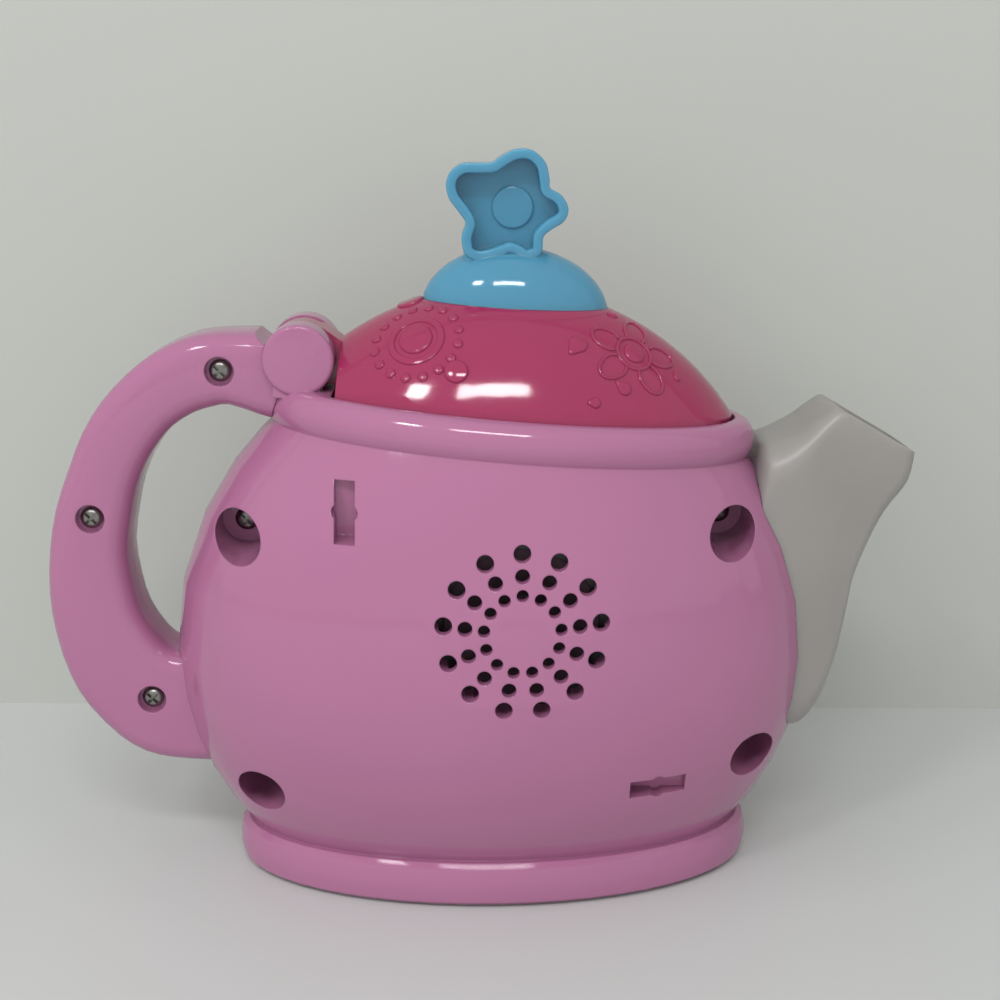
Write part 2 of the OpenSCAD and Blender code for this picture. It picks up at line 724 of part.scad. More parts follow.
module at_cells() {
    for (i = [0:cell_count - 1]) translate([0, (i - (cell_count - 1) / 2) * cell_pitch, cell_z])
        rotate([0, i % 2 == 0 ? 90 : -90, 0]) children();
}
tip_d = 5.4;
tip_l = 1.4;
contact_t = 0.5;
contact_w = 8;
contact_l = 9;
module batteries() {
    color("goldenrod") at_cells() {
        translate([0, 0, -cell_l / 2]) cylinder(d = cell_d, h = cell_l - tip_l);
        translate([0, 0, cell_l / 2 - tip_l - over]) cylinder(d = tip_d, h = tip_l + over);
    }
}
// Flat contacts at the cells' tips, and cone springs at their bases
module contact() {
    translate([-contact_w / 2, -contact_l / 2, 0]) cube([contact_w, contact_l, contact_t]);
}
module battery_contacts() {
    color("silver") at_cells() translate([0, 0, box_l / 2 - fit - contact_t]) contact();
}
spring_wire = 0.7;
spring_turns = 3;
spring_r = 4.2;
spring_lap = 0.02;
module battery_springs() {
    gap = box_l / 2 - cell_l / 2 - fit * 2 - contact_t;
    color("silver") at_cells() translate([0, 0, -box_l / 2 + fit]) {
        contact();
        for (k = [0:spring_turns - 1]) translate([0, 0, contact_t + (k + 0.5) * gap / spring_turns])
            rotate_extrude() translate([spring_r - k * spring_wire, 0])
                square([spring_wire, gap / spring_turns + spring_lap], center = true);
    }
}

// Power switch in the foot plate
switch_x = foot_a * 0.8;
switch_well_w = 7;
switch_well_l = 16;
switch_floor = 4.2;
switch_wall = 1.2;
switch_deck = 1;
stem_w = 2;
stem_l = 3;
stem_up = 1.6;
grip_w = 5.6;
grip_l = 6.6;
groove_w = 0.8;
groove_pitch = 1.8;
groove_deep = 0.6;
housing_w = 7;
housing_l = 18;
housing_h = 5;
module switch_slider() {
    y = -switch_travel / 2;
    color("white") {
        difference() {
            translate([switch_x - grip_w / 2, y - grip_l / 2, slider_z])
                cube([grip_w, grip_l, switch_floor - switch_deck - run_gap - slider_z]);
            for (k = [-1:1]) translate([switch_x - grip_w / 2 - over,
                    y + k * groove_pitch - groove_w / 2, slider_z - over])
                cube([grip_w + over * 2, groove_w, over + groove_deep]);
        }
        translate([switch_x - stem_w / 2, y - stem_l / 2, switch_floor / 2])
            cube([stem_w, stem_l, switch_floor / 2 + stem_up]);
    }
}
module switch_housing() {
    color("silver") difference() {
        translate([switch_x - housing_w / 2, -housing_l / 2, switch_floor + fit])
            cube([housing_w, housing_l, housing_h]);
        translate([switch_x - stem_w / 2 - fit, -stem_l / 2 - switch_travel / 2 - run_gap, switch_floor])
            cube([stem_w + fit * 2, stem_l + switch_travel + run_gap * 2, stem_up * 1.5]);
    }
}

// Main board on four posts over the battery box
board_x = 0;
board_l = 60;
board_w = 34;
board_t = 1.6;
board_edge = 4;
board_hole_x = board_l / 2 - board_edge;
board_hole_y = board_w / 2 - board_edge;
board_post_d = 5;
board_up = 4.4;
board_z = box_top + board_up;
board_screw_d = 2;
board_screw_l = 6;
small_head_d = 3.8;
small_head_t = 1.4;
module main_board() {
    color("seagreen") difference() {
        translate([board_x - board_l / 2, -board_w / 2, board_z + fit])
            cube([board_l, board_w, board_t]);
        for (x = [-1, 1]) for (y = [-1, 1])
            translate([x * board_hole_x + board_x, y * board_hole_y, board_z])
                cylinder(d = board_screw_d + screw_clear, h = board_t * 2);
    }
}
board_top = board_z + fit + board_t;
// The blob over the chip, a capacitor and four small parts, at shares [x, y] of the board's sides
blob_r = 9;
blob_h = 2.6;
capacitor_d = 6.3;
capacitor_h = 11;
chip_size = [1.6, 3.2, 1.2];
blob_share = [-0.17, 0.06];
capacitor_share = [0.13, 0.24];
chip_share = [0.07, -0.28];
chip_step_share = [0.065, 0];
tilt_share = [0.33, -0.09];
tilt_d = 7;
tilt_h = 9;
tilt_cap_d = 4;
tilt_cap_h = 10;
module on_board(s) {
    translate([board_x + board_l * s[0], board_w * s[1], board_top]) children();
}
module board_parts() {
    color("dimgray") {
        on_board(blob_share) intersection() {
            translate([0, 0, blob_h - blob_r]) sphere(blob_r);
            cylinder(r = blob_r, h = blob_h * 2);
        }
        on_board(capacitor_share) cylinder(d = capacitor_d, h = capacitor_h);
        for (i = [0:3]) on_board(chip_share + chip_step_share * i) cube(chip_size);
    }
}
module tilt_switch() {
    color("silver") on_board(tilt_share) {
        cylinder(d = tilt_d, h = tilt_h);
        cylinder(d = tilt_cap_d, h = tilt_cap_h);
    }
}
module board_screws() {
    color("silver") for (x = [-1, 1]) for (y = [-1, 1])
        translate([x * board_hole_x + board_x, y * board_hole_y, board_top]) rotate([-90, 0, 0])
            screw(board_screw_d, board_screw_l, small_head_d, small_head_t);
}

// Speaker
cone_t = 0.6;
basket_wall = 1;
rib_t = 2;
vent_w = 6;
cone_edge = 2.6;
module speaker_frame() {
    color("dimgray") at_grille(seat_y) rotate([-90, 0, 0]) difference() {
        union() {
            cylinder(d = speaker_d, h = basket_t);
            translate([0, 0, basket_t])
                cylinder(d1 = speaker_d - speaker_lip * 2, d2 = speaker_d * 0.62, h = basket_l);
        }
        translate([0, 0, -over])
            cylinder(d = speaker_d - (speaker_lip + basket_wall) * 2, h = over + basket_t);
        translate([0, 0, basket_t]) cylinder(d1 = speaker_d - (speaker_lip + basket_wall) * 2,
            d2 = speaker_d * 0.5, h = basket_l - basket_wall);
        translate([0, 0, basket_t]) cylinder(d = speaker_d * 0.3, h = basket_l * 2);
        for (i = [0:3]) rotate([0, 0, 90 * i + 45])
            translate([speaker_d * 0.3, -vent_w / 2, basket_t + rib_t])
                cube([speaker_d / 2, vent_w, basket_l - rib_t * 2]);
    }
}
module speaker_cone() {
    cone_l = basket_l * 0.6;
    color("black") at_grille(seat_y) rotate([-90, 0, 0]) rotate_extrude() polygon([
        [0, cone_l * 0.5], [speaker_d * 0.14, cone_l * 0.72], [speaker_d * 0.16, cone_l],
        [speaker_d * 0.36, cone_t * 1.5], [speaker_d * 0.4, cone_t], [speaker_d / 2 - cone_edge, cone_t],
        [speaker_d / 2 - cone_edge, cone_t * 2], [speaker_d * 0.4, cone_t * 2],
        [speaker_d * 0.37, cone_t * 2.5], [speaker_d * 0.17, cone_l + cone_t],
        [speaker_d * 0.13, cone_l + cone_t], [speaker_d * 0.12, cone_l * 0.72 + cone_t],
        [0, cone_l * 0.5 + cone_t]]);
}
module speaker_magnet() {
    color("silver") at_grille(seat_y + basket_t + basket_l + fit / 3)
        along_y(speaker_d * 0.56, magnet_l);
}
module speaker_clamp() {
    color("pink") at_grille(seat_y + basket_t + fit) difference() {
        union() {
            along_y(speaker_d + collar_wall, clamp_t);
            for (s = [-1, 1]) translate([s * ear_x, 0, 0]) along_y(ear_r * 2, clamp_t);
            translate([-ear_x, 0, -ear_r]) cube([ear_x * 2, clamp_t, ear_r * 2]);
        }
        translate([0, -over, 0]) along_y(speaker_d - clamp_lip * 2, clamp_t + over * 2);
        for (s = [-1, 1]) translate([s * ear_x, -over, 0])
            along_y(clamp_screw_d + screw_clear, clamp_t + over * 2);
    }
}
module clamp_screws() {
    color("silver") at_grille(seat_y + basket_t + fit + clamp_t) for (s = [-1, 1])
        translate([s * ear_x, 0, 0]) mirror([0, 1, 0])
            screw(clamp_screw_d, clamp_screw_l, clamp_head_d, small_head_t);
}

// Lights: a small board between the spout's side walls, with three lamps
light_x = half_w * 0.9;
light_h = 30;
light_half_w = spout_half_w - spout_wall - fit;
lamp_d = 5;
lamp_rim = 0.4;
lamp_foot = 1;
lamp_h = 3;
lamp_share = [-0.08, 0.17, 0.42];
module light_board() {
    color("seagreen") translate([light_x, -light_half_w, waist_z - light_h / 3])
        cube([board_t, light_half_w * 2, light_h]);
}
module spout_lights() {
    color("white") for (s = lamp_share)
        translate([light_x + board_t, 0, waist_z + light_h * s]) rotate([0, 90, 0]) {
            cylinder(d = lamp_d + lamp_rim * 2, h = lamp_foot);
            cylinder(d = lamp_d, h = lamp_h);
            translate([0, 0, lamp_h]) sphere(d = lamp_d);
        }
}

// Tea well under the lid, held by its flange in the shells' groove
well_u = 3;
well_side = 11;
well_front = 4.4;
well_a = mouth_a - well_side;
well_b = mouth_b - well_front;
well_deep = 22;
well_t = 1.6;
well_round = 7;
module well_profile(a, deep) {
    slope = deep * 0.25;
    polygon([[0, -deep], [a - slope - well_round, -deep], [a - slope, -deep + well_round], [a, 0],
        [0, 0]]);
    translate([a - slope - well_round, -deep + well_round]) circle(well_round);
}
module tea_well() {
    color("pink") on_rim() translate([0, 0, ledge_h + fit]) difference() {
        union() {
            oval(mouth_a + ledge_w - fit, mouth_b + ledge_w - fit, flange_t);
            translate([well_u, 0, flange_t / 2]) scale([1, well_b / well_a, 1]) rotate_extrude($fn = 96)
                well_profile(well_a, well_deep);
        }
        translate([well_u, 0, flange_t / 2 + well_t]) scale([1, (well_b - well_t) / (well_a - well_t), 1])
            rotate_extrude($fn = 96) well_profile(well_a - well_t, well_deep);
        translate([well_u, 0, flange_t / 2]) oval(well_a - well_t, well_b - well_t, flange_t);
    }
}

// Lid: a flattened dome with a skirt, cut off beside the hinge, and its knuckle
skirt_l = 4.1;
skirt_h = rim_top - skirt_l;
dome_h = rim_top + lid_rise - lid_ball_r;
lid_a = mouth_a - lid_gap;
lid_b = mouth_b - lid_gap;
lid_flat = lid_b / lid_a;
knob_u = -1.9;
tongue_gap = 0.6;
stud_d = 8;
module lid_dome(t) {
    translate([0, 0, dome_h]) scale([1, lid_flat, 1]) sphere(r = lid_ball_r - t, $fn = 120);
}
module lid_space(t, low, end) {
    intersection() {
        lid_dome(t);
        translate([0, 0, low]) oval(lid_a - t, lid_b - t, lid_ball_r);
        translate([end, -body_d / 2, low]) cube([body_w, body_d, lid_ball_r]);
    }
}
module lid() {
    tongue_top = dome_h + sqrt(lid_ball_r * lid_ball_r - deck_u * deck_u);
    knuckle_x = hinge_u + knuckle_r * 0.6;
    color("deeppink") on_rim() {
        difference() {
            union() {
                difference() {
                    lid_space(0, skirt_h, deck_u);
                    difference() {
                        lid_space(lid_wall, skirt_h - over, deck_u + lid_wall);
                        translate([knob_u, 0, seat_h - lid_wall])
                            oval(knob_half_w + lid_wall, knob_half_d + lid_wall, lid_ball_r);
                    }
                    translate([0, 0, skirt_h - over]) oval(lid_a - lid_wall, lid_b - lid_wall, over * 2);
                }
                translate([hinge_u, -knuckle_w / 2, hinge_h]) along_y(knuckle_r * 2, knuckle_w);
                translate([0, knuckle_w / 2, 0]) rotate([90, 0, 0]) linear_extrude(knuckle_w)
                    polygon([[hinge_u, hinge_h + knuckle_r], [knuckle_x, hinge_h + knuckle_r * 0.86],
                        [deck_u + over, tongue_top - over], [deck_u + over, rim_top + tongue_gap],
                        [deck_u, rim_top + tongue_gap], [hinge_u, hinge_h - knuckle_r * 0.7]]);
            }
            translate([hinge_u, -knuckle_w, hinge_h]) along_y(pin_d + run_gap * 0.6, knuckle_w * 2);
            translate([knob_u, 0, dome_h]) cylinder(d = stud_d + fit * 2, h = lid_ball_r * 2);
            translate([knob_u, 0, seat_h]) oval(knob_half_w + fit, knob_half_d + fit, lid_ball_r);
        }
    }
}

// Knob: a small dome on the lid with an upright flower, hollow at the back
knob_sink = sqrt(knob_ball_r * knob_ball_r - knob_half_w * knob_half_w);
knob_screw_d = 2.6;
knob_screw_l = 10;
knob_head_rim = 1.5;
knob_head_t = 1.8;
flower_u = -3.2;
flower_disc_up = 0.8;
flower_pos = rim_point(flower_u, rim_top + lid_rise + flower_up);
// Petals [x, z, radius] as shares of the core's radius
petal_share = [[-1.14, 0.63, 0.51], [0.32, 0.84, 0.585], [0.915, -0.09, 0.51], [0.37, -0.84, 0.425],
    [-0.79, -0.74, 0.457], [-0.85, -0.11, 0.36]];
module flower_outline(t) {
    circle(flower_core_r - t);
    for (p = petal_share) translate([p[0], p[1]] * flower_core_r) circle(p[2] * flower_core_r - t);
}
// Height of the lid's flat seat under the knob
seat_drop = 0.1;
seat_h = dome_h + sqrt(lid_ball_r * lid_ball_r - pow(knob_half_d / lid_flat, 2)) - seat_drop;
knob_foot = seat_h + fit / 3;
knob_centre = knob_foot - knob_sink;
knob_wall = 2;
module knob_dome(t) {
    translate([knob_u, 0, knob_foot]) scale([1, knob_half_d / knob_half_w, 1])
        translate([0, 0, -knob_sink]) rotate_extrude($fn = 96) difference() {
            intersection() {
                circle(knob_ball_r, $fn = 144);
                translate([0, knob_sink]) square(knob_ball_r);
            }
            intersection() {
                circle(knob_ball_r - t, $fn = 144);
                translate([0, knob_sink - over]) square(knob_ball_r);
            }
        }
}
module knob() {
    stud_l = knob_ball_r - knob_sink - knob_wall / 2;
    color("skyblue") {
        on_rim() {
            knob_dome(knob_wall);
            difference() {
                translate([knob_u, 0, seat_h - lid_wall]) cylinder(d = stud_d, h = stud_l + lid_wall);
                translate([knob_u, 0, seat_h - lid_wall - over])
                    cylinder(d = knob_screw_d + screw_fit * 2, h = knob_screw_l + over);
            }
        }
        difference() {
            translate([flower_pos[0], flower_t / 2, flower_pos[2]]) rotate([90, 0, 0])
                linear_extrude(flower_t) flower_outline(0);
            translate([flower_pos[0], flower_hollow - flower_t / 2, flower_pos[2]]) rotate([90, 0, 0])
                linear_extrude(flower_t) flower_outline(flower_wall);
            on_rim() translate([knob_u, 0, knob_foot]) scale([1, knob_half_d / knob_half_w, 1])
                translate([0, 0, -knob_sink]) sphere(r = knob_ball_r - knob_wall / 2, $fn = 96);
        }
        translate([flower_pos[0], flower_hollow - flower_t / 2 + over, flower_pos[2]]) rotate([90, 0, 0])
            linear_extrude(over + flower_disc_up) circle(flower_core_r / 2);
    }
}
module knob_screw() {
    color("silver") on_rim() translate([knob_u, 0, seat_h - lid_wall - fit / 3]) rotate([90, 0, 0])
        screw(knob_screw_d, knob_screw_l, stud_d + knob_head_rim * 2, knob_head_t);
}

rear_shell();
front_shell();
handle_rear();
handle_front();
base_plate();
battery_door();
door_screw();
batteries();
battery_springs();
battery_contacts();
switch_slider();
switch_housing();
main_board();
board_parts();
tilt_switch();
board_screws();
speaker_frame();
speaker_cone();
speaker_magnet();
speaker_clamp();
clamp_screws();
spout();
light_board();
spout_lights();
tea_well();
lid();
knob();
knob_screw();
hinge_pin();
body_screws();
handle_screws();
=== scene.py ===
# %% [markdown]
# A battery-operated toy teapot, seen from behind. The solid parts come from the CAD model, already
# in metres and already in place. This lesson dresses them: it gives each moulded part its plastic,
# draws the raised flowers of the lid, the knob and the spout, stands the toy on a pale table in
# front of a pale wall, and looks at it from where the photograph was taken.

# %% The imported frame
import math

import bmesh
import bpy
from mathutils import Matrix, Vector
from mathutils.geometry import tessellate_polygon


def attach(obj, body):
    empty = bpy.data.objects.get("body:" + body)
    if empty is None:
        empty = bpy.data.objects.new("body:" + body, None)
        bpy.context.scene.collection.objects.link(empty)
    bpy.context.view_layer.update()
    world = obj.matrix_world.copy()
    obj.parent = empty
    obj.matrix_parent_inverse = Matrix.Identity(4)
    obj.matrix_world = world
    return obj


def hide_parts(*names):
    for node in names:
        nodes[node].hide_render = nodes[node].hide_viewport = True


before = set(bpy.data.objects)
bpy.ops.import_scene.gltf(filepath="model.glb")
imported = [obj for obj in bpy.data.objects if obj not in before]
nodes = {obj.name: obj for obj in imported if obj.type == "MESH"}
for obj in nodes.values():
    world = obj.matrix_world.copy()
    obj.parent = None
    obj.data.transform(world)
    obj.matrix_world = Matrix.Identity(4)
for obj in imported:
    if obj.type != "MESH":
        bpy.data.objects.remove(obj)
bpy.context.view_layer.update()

# %% [markdown]
# The camera is where the photographer's phone was: behind the toy, a hand's height above it and
# looking a little down. Its lens, height and heading were solved from the body's known outlines, so
# they are written here as plain numbers and nothing is fitted by eye.

# %% The camera
CAMERA_PLACE = (-0.00902, -0.35555, 0.18373)
CAMERA_PITCH = 0.251
CAMERA_HEADING = -0.030
LENS_MM = 54.04
SENSOR_MM = 36.0
CLIP_START = 0.01

camera_data = bpy.data.cameras.new("camera")
camera_data.lens = LENS_MM
camera_data.sensor_width = SENSOR_MM
camera_data.clip_start = CLIP_START
camera = bpy.data.objects.new("camera", camera_data)
camera.location = CAMERA_PLACE
camera.rotation_euler = (math.pi / 2 - CAMERA_PITCH, 0, CAMERA_HEADING)
scene = bpy.context.scene
scene.collection.objects.link(camera)
scene.camera = camera
scene.view_settings.view_transform = "Standard"
print("camera", round(camera_data.lens, 2), "mm lens")

# %% [markdown]
# Colours are written as sRGB hex codes, the way a designer would read them off a colour card. The
# shader wants linear light, so one function turns the one into the other. A second small function
# adds a node to a tree: its settings are set by name, and each input gets a number or a link. An
# input is named by its label, with low lines for the spaces, or by its number after a low line. A
# pattern's scale is worked out from its real size: 1000 over a size in millimetres.

# %% Helpers for colour and nodes
MM = 0.001


def linear(hex_code):
    """A linear RGBA colour from an sRGB hex code."""
    parts = [int(hex_code[i : i + 2], 16) / 255 for i in (1, 3, 5)]
    return (*[c / 12.92 if c <= 0.04045 else ((c + 0.055) / 1.055) ** 2.4 for c in parts], 1.0)


def add(tree, kind, settings=None, **inputs):
    """Adds a node: settings are its own properties, inputs are numbers or other nodes' sockets."""
    node = tree.nodes.new(kind)
    for name, value in (settings or {}).items():
        setattr(node, name, value)
    for name, value in inputs.items():
        key = int(name[1:]) if name[0] == "_" else name.replace("_", " ")
        if isinstance(value, bpy.types.NodeSocket):
            tree.links.new(value, node.inputs[key])
        else:
            node.inputs[key].default_value = value
    return node


def new_material(name):
    """An empty node material with its output, and the tree to fill."""
    material = bpy.data.materials.new(name)
    material.use_nodes = True
    material.node_tree.nodes.clear()
    return material, material.node_tree


print("a mid grey, #808080, is", round(linear("#808080")[0], 3), "in linear light")

# %% [markdown]
# The body, handle, lid and knob are moulded ABS. ABS takes the polish of its steel mould, so it
# shines, but it never comes out quite even: the wall sinks a little here and there as it cools,
# which bends the reflections, and handling leaves hairline scuffs that dull the shine in patches.
# So the colour moves by a few percent, the roughness by a few hundredths, and a very shallow bump
# some centimetres across stands for the sink marks. No edge of a moulding is quite sharp either: a
# bevel in the shading turns each hard edge over half a millimetre, so that hole rims and seams
# catch a thin line of light. The light blue plastic is thin and weakly pigmented, so light also
# scatters some millimetres inside it, which lifts the shade in the knob's hollow.

# %% Moulded ABS
ABS_IOR = 1.54
SINK_MARK_MM = 26.0
SCUFF_MM = 1.6
TINT_PATCH_MM = 45.0
EDGE_MM = 0.5
EDGE_SAMPLES = 4
SINK_DEPTH_MM = 0.25
SINK_STRENGTH = 0.35
SCUFF_BAND = (0.35, 0.75)
SCUFF_DULLING = (0.85, 1.35)
RED_GLOW_MM = (4, 2, 2)
BLUE_GLOW_MM = (3, 6, 7)


def moulded_abs(name, hex_code, shade_hex, roughness, scatter=0.0, glow_mm=RED_GLOW_MM):
    """Glossy moulded ABS: its colour, its deeper patches, its roughness and its inner scatter."""
    material, tree = new_material(name)
    place = add(tree, "ShaderNodeTexCoord").outputs["Object"]
    patches = add(tree, "ShaderNodeTexNoise", Vector=place, Scale=1000 / TINT_PATCH_MM, Detail=2.0)
    tint = add(
        tree,
        "ShaderNodeMix",
        {"data_type": "RGBA"},
        _0=patches.outputs["Fac"],
        _6=linear(hex_code),
        _7=linear(shade_hex),
    )
    scuffs = add(
        tree, "ShaderNodeTexNoise", Vector=place, Scale=1000 / SCUFF_MM, Detail=6.0, Roughness=0.7
    )
    shine = add(
        tree,
        "ShaderNodeMapRange",
        Value=scuffs.outputs["Fac"],
        From_Min=SCUFF_BAND[0],
        From_Max=SCUFF_BAND[1],
        To_Min=roughness * SCUFF_DULLING[0],
        To_Max=roughness * SCUFF_DULLING[1],
    )
    sinks = add(tree, "ShaderNodeTexNoise", Vector=place, Scale=1000 / SINK_MARK_MM, Detail=1.0)
    edges = add(tree, "ShaderNodeBevel", {"samples": EDGE_SAMPLES}, Radius=EDGE_MM * MM)
    bump = add(
        tree,
        "ShaderNodeBump",
        Strength=SINK_STRENGTH,
        Distance=SINK_DEPTH_MM * MM,
        Height=sinks.outputs["Fac"],
        Normal=edges.outputs["Normal"],
    )
    shader = add(
        tree,
        "ShaderNodeBsdfPrincipled",
        Base_Color=tint.outputs[2],
        Roughness=shine.outputs["Result"],
        IOR=ABS_IOR,
        Normal=bump.outputs["Normal"],
        Subsurface_Weight=scatter,
        Subsurface_Radius=[reach * MM for reach in glow_mm],
        Subsurface_Scale=1.0,
    )
    add(tree, "ShaderNodeOutputMaterial", Surface=shader.outputs["BSDF"])
    return material


POLISHED, SATIN, DULL = 0.08, 0.35, 0.4
pale_pink_abs = moulded_abs("pale_pink_abs", "#A66A8D", "#A06488", POLISHED)
hot_pink_abs = moulded_abs("hot_pink_abs", "#962954", "#8F254D", POLISHED, scatter=0.1)
sky_blue_abs = moulded_abs(
    "sky_blue_abs", "#4C8CA9", "#4685A2", POLISHED, scatter=0.45, glow_mm=BLUE_GLOW_MM
)
white_abs = moulded_abs("white_abs", "#D8D6D2", "#D0CEC9", SATIN)
black_abs = moulded_abs("black_abs", "#26262A", "#1F1F22", DULL)
print("materials so far:", len(bpy.data.materials))

# %% [markdown]
# The spout is moulded in natural polypropylene with no pigment, so that the lamps inside can light
# it up. It is milky: light goes in, scatters and comes out blurred. A weak, rough transmission with
# some scatter under a pale grey gives that, and a slow noise makes the wall a little whiter in
# places.

# %% Milky polypropylene
PP_IOR = 1.49
PP_ROUGHNESS = (0.26, 0.4)
PP_LET_THROUGH = 0.3
PP_SCATTER = 0.35
PP_SCATTER_MM = 8
FLOW_MM = 18.0
FLOW_DEPTH_MM = 0.3
FLOW_STRENGTH = 0.35


def milky_polypropylene():
    """Unpigmented polypropylene that blurs what is behind it."""
    material, tree = new_material("milky_polypropylene")
    place = add(tree, "ShaderNodeTexCoord").outputs["Object"]
    flow = add(tree, "ShaderNodeTexNoise", Vector=place, Scale=1000 / FLOW_MM, Detail=3.0)
    tint = add(
        tree,
        "ShaderNodeMix",
        {"data_type": "RGBA"},
        _0=flow.outputs["Fac"],
        _6=linear("#A8A4A1"),
        _7=linear("#9D9996"),
    )
    dull = add(
        tree,
        "ShaderNodeMapRange",
        Value=flow.outputs["Fac"],
        To_Min=PP_ROUGHNESS[0],
        To_Max=PP_ROUGHNESS[1],
    )
    bump = add(
        tree,
        "ShaderNodeBump",
        Strength=FLOW_STRENGTH,
        Distance=FLOW_DEPTH_MM * MM,
        Height=flow.outputs["Fac"],
    )
    shader = add(
        tree,
        "ShaderNodeBsdfPrincipled",
        Base_Color=tint.outputs[2],
        Roughness=dull.outputs["Result"],
        IOR=PP_IOR,
        Transmission_Weight=PP_LET_THROUGH,
        Subsurface_Weight=PP_SCATTER,
        Subsurface_Radius=[PP_SCATTER_MM * MM] * 3,
        Subsurface_Scale=1.0,
        Normal=bump.outputs["Normal"],
    )
    add(tree, "ShaderNodeOutputMaterial", Surface=shader.outputs["BSDF"])
    return material


milky_plastic = milky_polypropylene()
print("spout plastic:", milky_plastic.name)

# %% [markdown]
# The screws are steel with a thin zinc plating, which leaves a bright, slightly grainy metal. The
# boards are glass-filled epoxy under a green lacquer, the cells have a shrink sleeve, which stays
# plain here, and the speaker's cone is pressed paper. All of them have a fine grain. The plating's
# crystals are far too small to show, so its grain is drawn as coarse as it needs to be seen on a
# screw's head. A metal keeps the shader's own IOR, as its colour and roughness say enough.

# %% Metals, boards and paper
PLATING_MM = 0.5
LACQUER_MM = 1.2
FIBRE_MM = 0.6
SLEEVE_MM = 3.0
LACQUER_IOR = 1.55
PAPER_IOR = 1.45
SLEEVE_IOR = 1.53
METAL_IOR = 1.5
GRAIN_STRENGTH = 0.5


def grained(name, colours, grain_mm, roughness, metallic=0.0, ior=METAL_IOR, depth_mm=0.02):
    """A finish whose grain has a real size: plated steel, lacquered board, paper, shrink sleeve."""
    material, tree = new_material(name)
    place = add(tree, "ShaderNodeTexCoord").outputs["Object"]
    grain = add(tree, "ShaderNodeTexNoise", Vector=place, Scale=1000 / grain_mm, Detail=5.0)
    tint = add(
        tree,
        "ShaderNodeMix",
        {"data_type": "RGBA"},
        _0=grain.outputs["Fac"],
        _6=linear(colours[0]),
        _7=linear(colours[1]),
    )
    polish = add(
        tree,
        "ShaderNodeMapRange",
        Value=grain.outputs["Fac"],
        To_Min=roughness[0],
        To_Max=roughness[1],
    )
    bump = add(
        tree,
        "ShaderNodeBump",
        Strength=GRAIN_STRENGTH,
        Distance=depth_mm * MM,
        Height=grain.outputs["Fac"],
    )
    shader = add(
        tree,
        "ShaderNodeBsdfPrincipled",
        Base_Color=tint.outputs[2],
        Roughness=polish.outputs["Result"],
        Metallic=metallic,
        IOR=ior,
        Normal=bump.outputs["Normal"],
    )
    add(tree, "ShaderNodeOutputMaterial", Surface=shader.outputs["BSDF"])
    return material


plated_steel = grained(
    "zinc_plated_steel", ("#9C9A96", "#7F7D79"), PLATING_MM, (0.22, 0.4), metallic=1.0
)
spring_steel = grained(
    "spring_steel", ("#B9B8B4", "#9D9B97"), PLATING_MM, (0.18, 0.32), metallic=1.0
)
green_lacquer = grained(
    "lacquered_board", ("#1F6B3A", "#175630"), LACQUER_MM, (0.3, 0.45), ior=LACQUER_IOR
)
pressed_paper = grained(
    "pressed_paper", ("#4A3A44", "#56454F"), FIBRE_MM, (0.8, 0.95), ior=PAPER_IOR, depth_mm=0.08
)
shrink_sleeve = grained(
    "shrink_sleeve", ("#3B3D42", "#33353A"), SLEEVE_MM, (0.25, 0.35), ior=SLEEVE_IOR
)
print("materials of the toy:", len(bpy.data.materials))

# %% [markdown]
# The CAD model is exact, but its curved walls reach Blender as small flat facets. A geometry nodes
# modifier welds the facets' corners and shades across every edge that turns by less than a set
# angle, so a moulded curve looks round and a real corner stays sharp. The mesh itself isn't
# touched.

# %% Smooth moulded skins
WELD_MM = 0.002
SHARP_TURN = 32


def smooth_skin(name, turn_degrees):
    """A modifier tree that shades smoothly across edges that turn by less than turn_degrees."""
    tree = bpy.data.node_groups.new(name, "GeometryNodeTree")
    tree.interface.new_socket("Geometry", in_out="INPUT", socket_type="NodeSocketGeometry")
    tree.interface.new_socket("Geometry", in_out="OUTPUT", socket_type="NodeSocketGeometry")
    start = add(tree, "NodeGroupInput")
    plain = add(
        tree, "GeometryNodeRemoveAttribute", Geometry=start.outputs[0], Name="custom_normal"
    )
    welded = add(
        tree,
        "GeometryNodeMergeByDistance",
        Geometry=plain.outputs["Geometry"],
        Distance=WELD_MM * MM,
    )
    faces = add(
        tree,
        "GeometryNodeSetShadeSmooth",
        {"domain": "FACE"},
        _0=welded.outputs["Geometry"],
        _2=True,
    )
    turn = add(tree, "GeometryNodeInputMeshEdgeAngle")
    sharp = add(
        tree,
        "FunctionNodeCompare",
        {"data_type": "FLOAT", "operation": "GREATER_THAN"},
        _0=turn.outputs["Unsigned Angle"],
        _1=math.radians(turn_degrees),
    )
    edges = add(
        tree,
        "GeometryNodeSetShadeSmooth",
        {"domain": "EDGE"},
        _0=faces.outputs[0],
        _1=sharp.outputs["Result"],
        _2=False,
    )
    add(tree, "NodeGroupOutput", _0=edges.outputs[0])
    return tree


moulded_skin = smooth_skin("moulded_skin", SHARP_TURN)
print("edges that turn by more than", SHARP_TURN, "degrees stay sharp")

# %% [markdown]
# Now every CAD part gets its finish. Each part keeps its own shape, so this is only a list of which
# part is moulded, plated or pressed in what.

